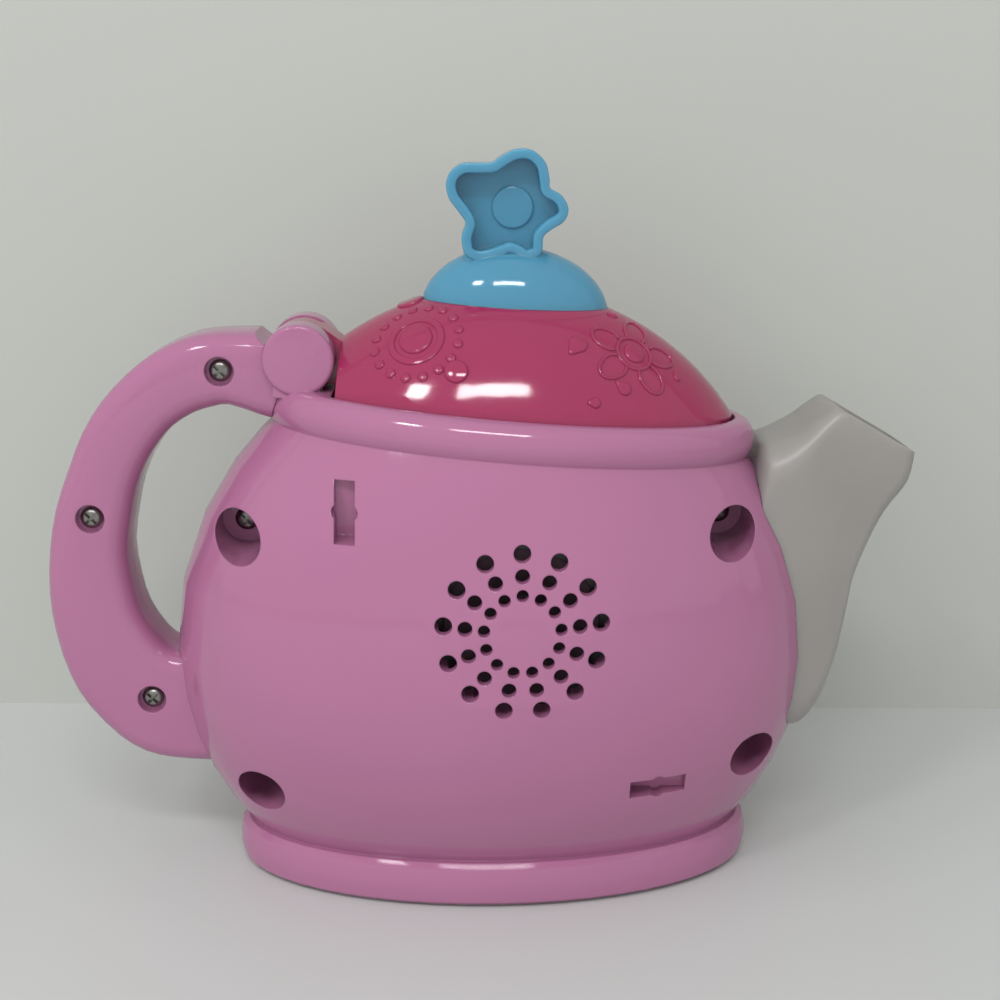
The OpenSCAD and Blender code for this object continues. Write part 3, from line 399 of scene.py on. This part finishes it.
# %% Finishes of the CAD parts
FINISHES = (
    (pale_pink_abs, ("rear_shell", "front_shell", "handle_rear", "handle_front", "tea_well",
                     "speaker_clamp")),
    (hot_pink_abs, ("lid", "base_plate", "battery_door")),
    (sky_blue_abs, ("knob",)),
    (milky_plastic, ("spout",)),
    (white_abs, ("switch_slider", "spout_lights")),
    (black_abs, ("speaker_frame", "board_parts")),
    (plated_steel, ("body_screws", "handle_screws", "door_screw", "board_screws", "clamp_screws",
                    "knob_screw", "hinge_pin")),
    (spring_steel, ("battery_springs", "battery_contacts", "speaker_magnet", "switch_housing",
                    "tilt_switch")),
    (green_lacquer, ("main_board", "light_board")),
    (pressed_paper, ("speaker_cone",)),
    (shrink_sleeve, ("batteries",)),
)
dressed = set()
for finish, names in FINISHES:
    for name in names:
        part = nodes[name]
        part.data.materials.clear()
        part.data.materials.append(finish)
        skin = part.modifiers.new("moulded_skin", "NODES")
        skin.node_group = moulded_skin
        dressed.add(name)
print("dressed", len(dressed), "of", len(nodes), "left", sorted(set(nodes) - dressed))

# %% [markdown]
# The lid carries raised flowers, cut into the mould as shallow pockets. On the left is a button
# with a ring and beads round it, on the right a five-petalled flower in outline, with a few drops
# beside them. They are real raised shapes, so they are built as meshes. Each is drawn flat, in
# millimetres, round a point of the lid, and then laid on the lid's dome, which is an oval stretched
# from a ball.

# %% The lid's dome
LID_TILT = math.radians(4.8)
WAIST_Z = 56.6
DOME_R = 66.1
DOME_CENTRE = Vector((0.0, 0.0, 22.0))
DOME_STRETCH = Vector((1.0, 0.5408, 1.0))
ORNAMENT_SUNK = -0.12


def from_rim(point):
    """A point of the tilted rim frame (millimetres) in the row frame (metres)."""
    u, v, h = point
    x = u * math.cos(LID_TILT) + h * math.sin(LID_TILT)
    z = WAIST_Z - u * math.sin(LID_TILT) + h * math.cos(LID_TILT)
    return Vector((x, v, z)) * MM


def ball(vector):
    """A vector of the lid in the frame where its dome is still a round ball."""
    return Vector([c / k for c, k in zip(vector, DOME_STRETCH)])


def outward(point):
    """The dome's outward normal at a point on it."""
    return ball(ball(point - DOME_CENTRE)).normalized()


def dome_point(u, v):
    """The dome's surface over (u, v), and its outward normal, in the rim frame."""
    flat = ball(Vector((u, v, 0)) - Vector((DOME_CENTRE.x, DOME_CENTRE.y, 0)))
    point = Vector((u, v, DOME_CENTRE.z + math.sqrt(DOME_R**2 - flat.length_squared)))
    return point, outward(point)


def onto_dome(centre, s, t, lift):
    """A point drawn at (s, t) round a centre on the lid, laid on the dome and lifted by lift."""
    origin, normal = dome_point(*centre)
    right = (Vector((1, 0, 0)) - normal * normal.x).normalized()
    up = normal.cross(right)
    point = origin + right * s + up * t
    start, step = ball(point - DOME_CENTRE), ball(normal)
    a, b, c = step.dot(step), start.dot(step), start.dot(start) - DOME_R**2
    reach = (-b + math.sqrt(max(0.0, b * b - a * c))) / a
    landed = point + normal * reach
    return from_rim(landed + outward(landed) * lift)


print("top of the dome", [round(c, 4) for c in onto_dome((0, 0), 0, 0, 0)])

# %% [markdown]
# Two strokes draw every ornament: a pad, which is a closed outline raised with a rounded edge, and
# a ridge, which is a raised line that follows a path. Both go into one mesh. A pad's steps are how
# far each ring is drawn in and how high it lies. A ridge's steps are shares of its width, and
# heights.

# %% Pads and ridges
PAD_STEPS = ((0.0, ORNAMENT_SUNK), (0.12, 0.22), (0.3, 0.4), (0.6, 0.48))
RIDGE_STEPS = (
    (-0.5, ORNAMENT_SUNK), (-0.38, 0.26), (0.0, 0.42), (0.38, 0.26), (0.5, ORNAMENT_SUNK)
)
LEAST_SHARE = 0.05
ornament = bmesh.new()


def join_rings(solid, low, high):
    """Faces between two rings of equal length."""
    for i in range(len(low)):
        j = (i + 1) % len(low)
        solid.faces.new((low[i], low[j], high[j], high[i]))


def circle(radius, count=28, at=(0, 0), start=0.0):
    """Points of a circle, counter-clockwise."""
    turn = 2 * math.pi / count
    return [
        (at[0] + radius * math.cos(start + turn * i), at[1] + radius * math.sin(start + turn * i))
        for i in range(count)
    ]


def shrunk(outline, by):
    """An outline drawn in towards its middle by a distance."""
    cx = sum(p[0] for p in outline) / len(outline)
    cy = sum(p[1] for p in outline) / len(outline)
    result = []
    for x, y in outline:
        size = math.hypot(x - cx, y - cy)
        keep = max(LEAST_SHARE, 1 - by / size)
        result.append((cx + (x - cx) * keep, cy + (y - cy) * keep))
    return result


def pad(centre, outline, height=1.0):
    """A raised pad with a rounded edge."""
    rings = [
        [ornament.verts.new(onto_dome(centre, s, t, lift * (height if lift > 0 else 1)))
         for s, t in shrunk(outline, inset)]
        for inset, lift in PAD_STEPS
    ]
    for low, high in zip(rings, rings[1:]):
        join_rings(ornament, low, high)
    ornament.faces.new(rings[-1])
    ornament.faces.new(rings[0][::-1])


def ridge(centre, path, width, height=1.0, closed=True):
    """A raised line along a path, with a rounded back."""
    count = len(path)
    rows = []
    for i, (s, t) in enumerate(path):
        before = path[i - 1] if closed or i else path[0]
        after = path[(i + 1) % count] if closed or i < count - 1 else path[-1]
        along = Vector((after[0] - before[0], after[1] - before[1])).normalized()
        side = (-along.y, along.x)
        rows.append([
            ornament.verts.new(onto_dome(
                centre, s + side[0] * width * k, t + side[1] * width * k,
                lift * (height if lift > 0 else 1)))
            for k, lift in RIDGE_STEPS
        ])
    last = count if closed else count - 1
    for i in range(last):
        a, b = rows[i], rows[(i + 1) % count]
        for k in range(len(RIDGE_STEPS)):
            m = (k + 1) % len(RIDGE_STEPS)
            ornament.faces.new((a[k], a[m], b[m], b[k]))
    if not closed:
        ornament.faces.new(rows[0][::-1])
        ornament.faces.new(rows[-1])


print("steps of a pad and a ridge:", len(PAD_STEPS), len(RIDGE_STEPS))

# %% [markdown]
# The button flower: a pad 8 mm across, a ring round it, sixteen beads, one larger bead at its lower
# right, and a bud above it. Its centre is given in the rim frame, in millimetres from the lid's
# middle.

# %% The button flower
BUTTON_AT = (-24.4, -15.8)
BUTTON_R = 4.0
RING_R = 5.9
RING_W = 1.9
BEAD_ROW_R = 10.0
BEAD_R = 1.25
BEADS = 16
FIRST_BEAD = 11
BIG_BEAD_AT = (9.5, -8.9)
BIG_BEAD_R = 2.8
BUD_AT = (-26.5, -1.0)
BUD_R = 3.4

pad(BUTTON_AT, circle(BUTTON_R, 40))
ridge(BUTTON_AT, circle(RING_R, 56), RING_W)
for i in range(BEADS):
    angle = math.radians(FIRST_BEAD + 360 / BEADS * i)
    bead = (BEAD_ROW_R * math.cos(angle), BEAD_ROW_R * math.sin(angle))
    pad(BUTTON_AT, circle(BEAD_R, 18, bead))
pad(BUTTON_AT, circle(BIG_BEAD_R, 28, BIG_BEAD_AT), height=1.3)
pad(BUD_AT, circle(BUD_R, 30), height=1.2)
print("button flower:", len(ornament.faces), "faces")

# %% [markdown]
# The outlined flower: each petal is one raised line that leaves the ring, goes round the petal's
# tip and comes back. A petal's outline is drawn once and turned five times.

# %% The outlined flower
FLOWER_AT = (25.7, -14.6)
PETAL_TIP = 10.9
PETAL_ROOT = 4.6
PETAL_HALF_W = 3.9
PETAL_STEPS = 24
PETAL_OPEN = 1.24
TIP_TURNS = 1.6
WAIST_TURNS = 0.9
WAIST_SHARE = 0.55
WAIST_SWELL = 0.45
LINE_W = 1.0
EYE_R = 2.7
EYE_RING_R = 4.3
PETAL_ANGLES = (13, 84, 163, 225, 309)

pad(FLOWER_AT, circle(EYE_R, 30))
ridge(FLOWER_AT, circle(EYE_RING_R, 44), LINE_W)
for degrees in PETAL_ANGLES:
    turn = math.radians(degrees)
    path = []
    for i in range(PETAL_STEPS + 1):
        swing = math.pi * (i / PETAL_STEPS - 0.5) * PETAL_OPEN
        reach = (1 + math.cos(swing * TIP_TURNS)) / 2
        along = PETAL_ROOT + (PETAL_TIP - PETAL_ROOT) * reach
        waist = WAIST_SHARE + WAIST_SWELL * math.cos(swing * WAIST_TURNS)
        across = PETAL_HALF_W * math.sin(swing) * waist
        path.append((
            along * math.cos(turn) - across * math.sin(turn),
            along * math.sin(turn) + across * math.cos(turn),
        ))
    ridge(FLOWER_AT, path, LINE_W, closed=False)
print("with the outlined flower:", len(ornament.faces), "faces")

# %% [markdown]
# A few drops lie round the flower, each a round pad with a tip on one side. A drop's row holds its
# place from the flower's centre, its radius, and the direction of its tip in degrees.

# %% The drops round the flower
DROP_POINTS = 26
DROP_TIP = 0.75
DROP_TAPER = 1.6
DROPS = (
    ((-13.6, -1.2), 2.3, 240),
    ((-1.8, -9.9), 1.7, 155),
    ((-8.1, -14.6), 1.3, 190),
    ((11.6, -2.4), 1.1, 120),
    ((-4.1, 11.6), 1.2, 200),
)

for at, radius, toward in DROPS:
    tip = math.radians(toward)
    outline = []
    for i in range(DROP_POINTS):
        angle = 2 * math.pi * i / DROP_POINTS
        off = abs((angle - tip + math.pi) % (2 * math.pi) - math.pi)
        reach = radius * (1 + DROP_TIP * max(0.0, 1 - off / DROP_TIP) ** DROP_TAPER)
        outline.append((at[0] + reach * math.cos(angle), at[1] + reach * math.sin(angle)))
    pad(FLOWER_AT, outline)
print("with the drops:", len(ornament.faces), "faces")

# %% [markdown]
# The drawn mesh becomes an object, gets the lid's plastic and rides on the lid's body, so that it
# swings up with the lid. The same two steps serve each piece that is drawn later.

# %% The ornaments as one piece on the lid
def as_piece(name, solid):
    """Turns a drawn solid into an object of the scene."""
    bmesh.ops.recalc_face_normals(solid, faces=solid.faces)
    mesh = bpy.data.meshes.new(name)
    solid.to_mesh(mesh)
    solid.free()
    piece = bpy.data.objects.new(name, mesh)
    scene.collection.objects.link(piece)
    return piece


def dress(piece, material, body):
    """Gives a new piece its plastic, its smooth skin and the body that it moves with."""
    piece.data.materials.clear()
    piece.data.materials.append(material)
    for face in piece.data.polygons:
        face.use_smooth = True
    piece.modifiers.new("moulded_skin", "NODES").node_group = moulded_skin
    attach(piece, body)


lid_ornament = as_piece("lid_ornament", ornament)
dress(lid_ornament, hot_pink_abs, "lid_group")
print("lid ornament:", len(lid_ornament.data.polygons), "faces")

# %% [markdown]
# The knob is a flattened dome with an upright five-petalled flower, open at the back, where it was
# cored out so that the plastic cools evenly. The CAD part has the flower as overlapping discs. Its
# real outline is one soft curve, so the knob is drawn here again in full. The outline's points are
# given as shares of the right petal's reach, and a smooth curve runs through them. The dome's sizes
# are in the rim frame, and the flower's place is in the toy's own frame, all in millimetres.

# %% The knob's sizes
KNOB_U = -1.7
KNOB_HALF_W = 21.9
KNOB_HALF_D = 12.0
KNOB_FOOT = 84.8
KNOB_RISE = 12.8
KNOB_BULGE = 0.4
SEAT_H = 82.75
FLOWER_PLACE = (4.6, 162.9)
FLOWER_REACH = 12.7
FLOWER_HALF_T = 5.5
FLOWER_WALL = 2.3
FLOWER_EDGE = 0.5
SOFT_SHARE = 0.3
HOLLOW_FLOOR = 1.0
DISC_R = 4.8
DISC_UP = 0.8
FLOWER_SHARES = (
    (-1.22, 0.43), (-1.13, 0.66), (-0.91, 0.8), (-0.61, 0.81), (-0.38, 0.82), (-0.23, 0.92),
    (0.02, 1.04), (0.32, 1.04), (0.57, 0.83), (0.65, 0.54), (0.67, 0.36), (0.88, 0.23),
    (1.0, -0.01), (0.92, -0.23), (0.69, -0.38), (0.55, -0.51), (0.53, -0.74), (0.44, -0.87),
    (0.23, -0.92), (0.05, -0.83), (-0.06, -0.79), (-0.17, -0.83), (-0.4, -0.91), (-0.64, -0.94),
    (-0.83, -0.87), (-0.92, -0.73), (-0.94, -0.5), (-0.87, -0.26), (-0.97, -0.09), (-1.07, 0.04),
    (-1.17, 0.19),
)
CURVE_STEPS = 5


def between(a, b, c, d, t):
    """The point at share t from b to c, on a smooth curve that comes from a and goes on to d."""
    bend = a * 2 - b * 5 + c * 4 - d
    twist = b * 3 - a - c * 3 + d
    return (b * 2 + (c - a) * t + bend * t**2 + twist * t**3) / 2


def smooth_ring(points):
    """A smooth closed curve through a ring of points."""
    count = len(points)
    path = []
    for i in range(count):
        a, b, c, d = (Vector(points[(i + k) % count]) for k in (-1, 0, 1, 2))
        path += [between(a, b, c, d, k / CURVE_STEPS) for k in range(CURVE_STEPS)]
    return path


def petals(inset, depth):
    """The flower's outline, drawn in by inset, at a depth behind the toy's middle, in metres."""
    count = len(FLOWER_SHARES)
    points = [Vector(share) * FLOWER_REACH for share in FLOWER_SHARES]
    moved = []
    for i, point in enumerate(points):
        along = (points[(i + 1) % count] - points[i - 1]).normalized()
        moved.append(point + Vector((along.y, -along.x)) * inset)
    x, z = FLOWER_PLACE
    return [Vector((x + p.x, depth, z + p.y)) * MM for p in smooth_ring(moved)]


across = [p.x for p in petals(0, 0)]
print("the flower is", round(max(across) - min(across), 4), "m wide")

# %% [markdown]
# Each solid is a stack of rings, joined ring to ring and closed at both ends. The flower's rings
# run round its back edge, along its outside, over the front edge and down into the hollow, where
# the small disc stands on the floor.

# %% Stacks of rings
def stacked(name, rings, inner_rings=()):
    """A closed solid through rings of equal length. A second stack may stand in its last ring."""
    solid = bmesh.new()
    outer = [[solid.verts.new(p) for p in ring] for ring in rings]
    inner = [[solid.verts.new(p) for p in ring] for ring in inner_rings]
    for stack in (outer, inner):
        for low, high in zip(stack, stack[1:]):
            join_rings(solid, low, high)
    ends = [(outer[0],), (outer[-1], *inner[:1])]
    if inner:
        ends.append((inner[-1],))
    for loops in ends:
        flat = [[Vector((v.co.x, v.co.y + v.co.z, 0)) for v in loop] for loop in loops]
        corners = [v for loop in loops for v in loop]
        for three in tessellate_polygon(flat):
            solid.faces.new([corners[i] for i in three])
    return as_piece(name, solid)


print("a ring of the flower has", len(petals(0, 0)), "points to join")

# %% [markdown]
# The flower's rim is rounded over at its outside and its inside, and the wall goes down to the
# hollow's floor. The disc on the floor gets a soft edge too.

# %% The flower
DISC_POINTS = 48


def disc_ring(radius, depth):
    """A ring round the flower's middle."""
    x, z = FLOWER_PLACE
    turn = 2 * math.pi / DISC_POINTS
    return [
        Vector((x + radius * math.cos(turn * i), depth, z + radius * math.sin(turn * i))) * MM
        for i in range(DISC_POINTS)
    ]


soft = FLOWER_EDGE * SOFT_SHARE
flower_profile = (
    (FLOWER_EDGE, FLOWER_HALF_T),
    (soft, FLOWER_HALF_T - soft),
    (0.0, FLOWER_HALF_T - FLOWER_EDGE),
    (0.0, FLOWER_EDGE - FLOWER_HALF_T),
    (soft, soft - FLOWER_HALF_T),
    (FLOWER_EDGE, -FLOWER_HALF_T),
    (FLOWER_WALL - FLOWER_EDGE, -FLOWER_HALF_T),
    (FLOWER_WALL - soft, soft - FLOWER_HALF_T),
    (FLOWER_WALL, FLOWER_EDGE - FLOWER_HALF_T),
    (FLOWER_WALL, HOLLOW_FLOOR),
)
disc_front = HOLLOW_FLOOR - DISC_UP
flower = stacked(
    "flower",
    [petals(inset, depth) for inset, depth in flower_profile],
    [disc_ring(DISC_R, HOLLOW_FLOOR), disc_ring(DISC_R, disc_front + soft),
     disc_ring(DISC_R - soft, disc_front)],
)
print("flower:", len(flower.data.polygons), "faces")

# %% [markdown]
# The dome is part of a ball, flattened to the knob's height and narrowed to its depth. Its first
# ring stands on the lid, and the next ones follow the ball up to near its top.

# %% The knob's dome
OVAL_POINTS = 96
DOME_RINGS = 18


def oval_ring(half_w, half_d, height):
    """A ring round the knob's middle at a height of the rim frame."""
    turn = 2 * math.pi / OVAL_POINTS
    return [
        from_rim((KNOB_U + half_w * math.cos(turn * i), half_d * math.sin(turn * i), height))
        for i in range(OVAL_POINTS)
    ]


ball_r = KNOB_HALF_W + KNOB_BULGE
foot_angle = math.acos(KNOB_HALF_W / ball_r)
knob_flat = KNOB_RISE / (ball_r * (1 - math.sin(foot_angle)))
knob_rings = [oval_ring(KNOB_HALF_W, KNOB_HALF_D, SEAT_H)]
for i in range(DOME_RINGS):
    angle = foot_angle + (math.pi / 2 - foot_angle) * i / DOME_RINGS
    up = KNOB_FOOT + ball_r * (math.sin(angle) - math.sin(foot_angle)) * knob_flat
    share = ball_r * math.cos(angle) / KNOB_HALF_W
    knob_rings.append(oval_ring(KNOB_HALF_W * share, KNOB_HALF_D * share, up))
knob_dome = stacked("knob_with_flower", knob_rings)
print("dome:", len(knob_dome.data.polygons), "faces")

# %% [markdown]
# A short neck carries the flower on the dome. It is a block with rounded corners, a little thinner
# than the flower, so that the flower's lower lobes stand out in front of it. Each of its rings is a
# height with the block's left and right sides.

# %% The knob's neck
NECK_RINGS = ((152.4, -7.1, 11.4), (149.8, -6.6, 10.9), (145.0, -5.8, 10.3))
NECK_ROUND = 1.2
NECK_STEP = 0.5
NECK_STEPS = 4

neck_half_t = FLOWER_HALF_T - NECK_STEP - NECK_ROUND
neck_rings = []
for z, left, right in NECK_RINGS:
    ring = []
    for k, (x, side) in enumerate(((right, 1), (left, 1), (left, -1), (right, -1))):
        middle_x = x - NECK_ROUND if x > 0 else x + NECK_ROUND
        for i in range(NECK_STEPS + 1):
            turn = math.pi / 2 * (k + i / NECK_STEPS)
            corner_x = middle_x + NECK_ROUND * math.cos(turn)
            corner_y = side * neck_half_t + NECK_ROUND * math.sin(turn)
            ring.append(Vector((corner_x, corner_y, z)) * MM)
    neck_rings.append(ring)
neck = stacked("neck", neck_rings)
print("neck:", len(neck.data.polygons), "faces")

# %% [markdown]
# Dome, flower and neck are one moulding, so they are joined into one solid. It takes the place of
# the CAD knob and moves with the lid.

# %% The knob in one piece
def joined(base, others):
    """Joins solids into one, so that no wall is left inside."""
    for other in others:
        join = base.modifiers.new("join", "BOOLEAN")
        join.operation = "UNION"
        join.solver = "EXACT"
        join.object = other
    bpy.context.view_layer.update()
    seen = base.evaluated_get(bpy.context.evaluated_depsgraph_get())
    mesh = bpy.data.meshes.new_from_object(seen)
    base.modifiers.clear()
    base.data = mesh
    for other in others:
        bpy.data.objects.remove(other)
    return base


knob_with_flower = joined(knob_dome, [flower, neck])
dress(knob_with_flower, sky_blue_abs, "lid_group")
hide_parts("knob")
print("knob:", len(knob_with_flower.data.polygons), "faces")

# %% [markdown]
# The knob's foot is a little smaller than the seat that the CAD lid has for it. A thin ring of the
# lid's own plastic carries the dome's curve on to the foot, so that no ledge shows round it.

# %% The lid's crown
CROWN_OUT = (23.2, 14.9)
CROWN_LIFT = 0.03
CROWN_SUNK = -0.1
CROWN_GAP = 0.06
CROWN_EDGE_SHARE = 0.05
CROWN_STEPS = 6


def crown_ring(share, lift, level=None):
    """A ring of the crown: share 0 is its outer edge and 1 its inner edge."""
    inner = (KNOB_HALF_W + CROWN_GAP, KNOB_HALF_D + CROWN_GAP)
    half_w, half_d = (o + (i - o) * share for o, i in zip(CROWN_OUT, inner))
    ring = []
    for i in range(OVAL_POINTS):
        turn = 2 * math.pi * i / OVAL_POINTS
        point, normal = dome_point(KNOB_U + half_w * math.cos(turn), half_d * math.sin(turn))
        place = point + normal * lift
        if level is not None:
            place.z = min(level, place.z)
        ring.append(from_rim(place))
    return ring


crown_rings = [crown_ring(0, CROWN_SUNK), crown_ring(CROWN_EDGE_SHARE, CROWN_LIFT)]
crown_rings += [crown_ring(k / CROWN_STEPS, CROWN_LIFT) for k in range(1, CROWN_STEPS + 1)]
crown_rings += [crown_ring(1, 0, SEAT_H)]
crown_solid = bmesh.new()
crown_rows = [[crown_solid.verts.new(p) for p in ring] for ring in crown_rings]
for low, high in zip(crown_rows, crown_rows[1:] + crown_rows[:1]):
    join_rings(crown_solid, low, high)
lid_crown = as_piece("lid_crown", crown_solid)
dress(lid_crown, hot_pink_abs, "lid_group")
print("crown:", len(lid_crown.data.polygons), "faces")

# %% [markdown]
# The spout is a lofted shell: rounded sections between a top and a bottom edge, which swing round
# from upright at the root to slanting at the mouth. Its root fills the opening of the body shells,
# which is cut to the CAD part. Outside them it is slimmer than the CAD part, as in the photograph,
# so it is drawn again, with the same root. The edges are given in millimetres, seen from the side.

# %% The spout's sections
SPOUT_TOP = (
    (62.5, 101.2), (64.2, 107.2), (68.4, 109.2), (72.2, 111.0), (74.6, 112.4),
    (76.8, 114.1), (78.6, 115.4), (80.0, 116.4), (81.2, 116.9), (82.0, 116.5),
)
SPOUT_LOW = (
    (69.7, 36.6), (75.6, 36.8), (80.4, 43.4), (83.6, 54.0), (85.6, 65.0),
    (87.2, 74.6), (90.2, 83.2), (94.0, 91.2), (99.3, 98.6), (100.7, 105.6),
)
SPOUT_HALF_W = (14.9, 14.9, 14.7, 14.0, 13.2, 12.5, 11.9, 11.4, 10.9, 10.6)
SPOUT_CORNER = (8.6, 8.6, 8.0, 6.6, 5.4, 4.6, 4.0, 3.6, 3.3, 3.2)
SPOUT_WALL = 2.0
SPOUT_LIP = 0.35
SPOUT_FLOOR = 5
SPOUT_STEPS = 4
QUARTER_STEPS = 6
LEAST_CORNER = 1.0
CORNER_SHARE = 0.6


def eased(values, place):
    """A smooth curve through a list of numbers or points, at a place along it."""
    last = len(values) - 1
    k = min(int(place), last - 1)
    t = place - k
    a, b, c, d = (Vector(values[min(max(k + i, 0), last)]) for i in (-1, 0, 1, 2))
    return between(a, b, c, d, t)


def spout_ring(place, inset):
    """A rounded section of the spout, drawn in by inset."""
    top, low = eased(SPOUT_TOP, place), eased(SPOUT_LOW, place)
    width, corner = eased(list(zip(SPOUT_HALF_W, SPOUT_CORNER)), place)
    span = (low - top).length
    down = (low - top) / span
    half_w = width - inset
    corner = max(LEAST_CORNER, corner - inset * CORNER_SHARE)
    ring = []
    for k in range(4):
        side = 1 if k in (0, 3) else -1
        for i in range(QUARTER_STEPS + 1):
            turn = math.pi / 2 * (k + i / QUARTER_STEPS)
            y = side * (half_w - corner) + corner * math.cos(turn)
            middle = inset + corner if k < 2 else span - inset - corner
            point = top + down * (middle - corner * math.sin(turn))
            ring.append(Vector((point.x, y, point.y)) * MM)
    return ring


print("spout sections:", len(SPOUT_TOP))

# %% [markdown]
# The spout's rings go up its outside from the root, over the lip of the mouth and down its inside,
# to a floor some way below the mouth.

# %% The spout
mouth = len(SPOUT_TOP) - 1
outside = [k / SPOUT_STEPS for k in range(mouth * SPOUT_STEPS + 1)]
inside = [k for k in reversed(outside) if k >= SPOUT_FLOOR]
spout_rings = [spout_ring(k, 0) for k in outside]
spout_rings += [spout_ring(mouth, SPOUT_LIP), spout_ring(mouth, SPOUT_WALL - SPOUT_LIP)]
spout_rings += [spout_ring(k, SPOUT_WALL) for k in inside]
milky_spout = stacked("milky_spout", spout_rings)
dress(milky_spout, milky_plastic, "pot")
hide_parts("spout")
print("spout:", len(milky_spout.data.polygons), "faces")

# %% [markdown]
# The toy stands on a pale table close to a pale wall. The wall meets the table about ten
# centimetres behind it. Both are plain painted surfaces with a faint unevenness, and neither
# belongs to the toy. The wall has paint on the toy's side only and is clear from behind, as a stage
# wall would be, so that the toy can be looked at from every side.

# %% Table and wall
WALL_Y = 0.095
WALL_TURN = math.radians(-2.6)
ROOM = 3.0
PAINT_PATCHES = 7.0
PAINT_ROUGHNESS = 0.55
PAINT_IOR = 1.45


def painted(name, hex_code, shade_hex, clear_behind=0.0):
    """A matt painted surface with slow, faint changes of tone, clear from behind if that is 1."""
    material, tree = new_material(name)
    place = add(tree, "ShaderNodeTexCoord").outputs["Object"]
    clouds = add(tree, "ShaderNodeTexNoise", Vector=place, Scale=PAINT_PATCHES, Detail=4.0)
    tint = add(
        tree,
        "ShaderNodeMix",
        {"data_type": "RGBA"},
        _0=clouds.outputs["Fac"],
        _6=linear(hex_code),
        _7=linear(shade_hex),
    )
    shader = add(
        tree,
        "ShaderNodeBsdfPrincipled",
        Base_Color=tint.outputs[2],
        Roughness=PAINT_ROUGHNESS,
        IOR=PAINT_IOR,
    )
    behind = add(
        tree,
        "ShaderNodeMath",
        {"operation": "MULTIPLY"},
        _0=add(tree, "ShaderNodeNewGeometry").outputs["Backfacing"],
        _1=clear_behind,
    )
    clear = add(tree, "ShaderNodeBsdfTransparent")
    either = add(
        tree,
        "ShaderNodeMixShader",
        _0=behind.outputs["Value"],
        _1=shader.outputs["BSDF"],
        _2=clear.outputs["BSDF"],
    )
    add(tree, "ShaderNodeOutputMaterial", Surface=either.outputs["Shader"])
    return material


def sheet(name, corners, material):
    """A flat four-cornered surface."""
    mesh = bpy.data.meshes.new(name)
    mesh.from_pydata(corners, [], [(0, 1, 2, 3)])
    surface = bpy.data.objects.new(name, mesh)
    scene.collection.objects.link(surface)
    surface.data.materials.append(material)
    return surface


table_paint = painted("table_paint", "#C7C9C8", "#C2C4C3")
wall_paint = painted("wall_paint", "#B4B6B1", "#B0B3AE", clear_behind=1.0)
sheet(
    "table",
    [(-ROOM, -ROOM, 0), (ROOM, -ROOM, 0), (ROOM, ROOM, 0), (-ROOM, ROOM, 0)],
    table_paint,
)
wall = sheet(
    "wall",
    [(-ROOM, 0, 0), (ROOM, 0, 0), (ROOM, 0, ROOM), (-ROOM, 0, ROOM)],
    wall_paint,
)
wall.location = (0, WALL_Y, 0)
wall.rotation_euler = (0, 0, WALL_TURN)
print("the wall stands", WALL_Y, "m behind the toy's middle")

# %% [markdown]
# The light in the photograph is soft daylight from above and from the left, with a window that
# leaves small bright bars on the rim, the lid and the knob. A large dim area light gives the
# daylight, one low in front gives what the room throws back, two small bright ones give the bars,
# and the world fills the shadows. Their places follow from where the bars lie on the lid. The two
# large lights leave no reflection of their own, because daylight in a room has no edge. Together
# they light a plain card to about the colour it is painted.

# %% Lights and world
AIM = (0, 0, 0.07)
SKY_STRENGTH = 0.8


def window(name, place, size, power, mirrored=True):
    """A rectangular light of a size in metres, turned towards the toy."""
    data = bpy.data.lights.new(name, "AREA")
    data.shape = "RECTANGLE"
    data.size, data.size_y = size
    data.energy = power
    lamp = bpy.data.objects.new(name, data)
    scene.collection.objects.link(lamp)
    lamp.location = place
    lamp.rotation_euler = (Vector(AIM) - Vector(place)).to_track_quat("-Z", "Y").to_euler()
    lamp.visible_glossy = mirrored
    return lamp


window("daylight", (-1.1, -0.9, 1.1), (1.4, 1.2), 8, mirrored=False)
window("room", (-0.2, -1.5, 0.25), (1.8, 0.7), 6, mirrored=False)
window("window_left", (-0.48, -0.72, 0.94), (0.15, 0.13), 1.6)
window("window_right", (-0.02, -0.85, 0.95), (0.44, 0.11), 3.2)
world = bpy.data.worlds.new("room")
world.use_nodes = True
sky = world.node_tree.nodes["Background"]
sky.inputs["Color"].default_value = linear("#F1F2F0")
sky.inputs["Strength"].default_value = SKY_STRENGTH
scene.world = world
print("lights:", len(bpy.data.lights))
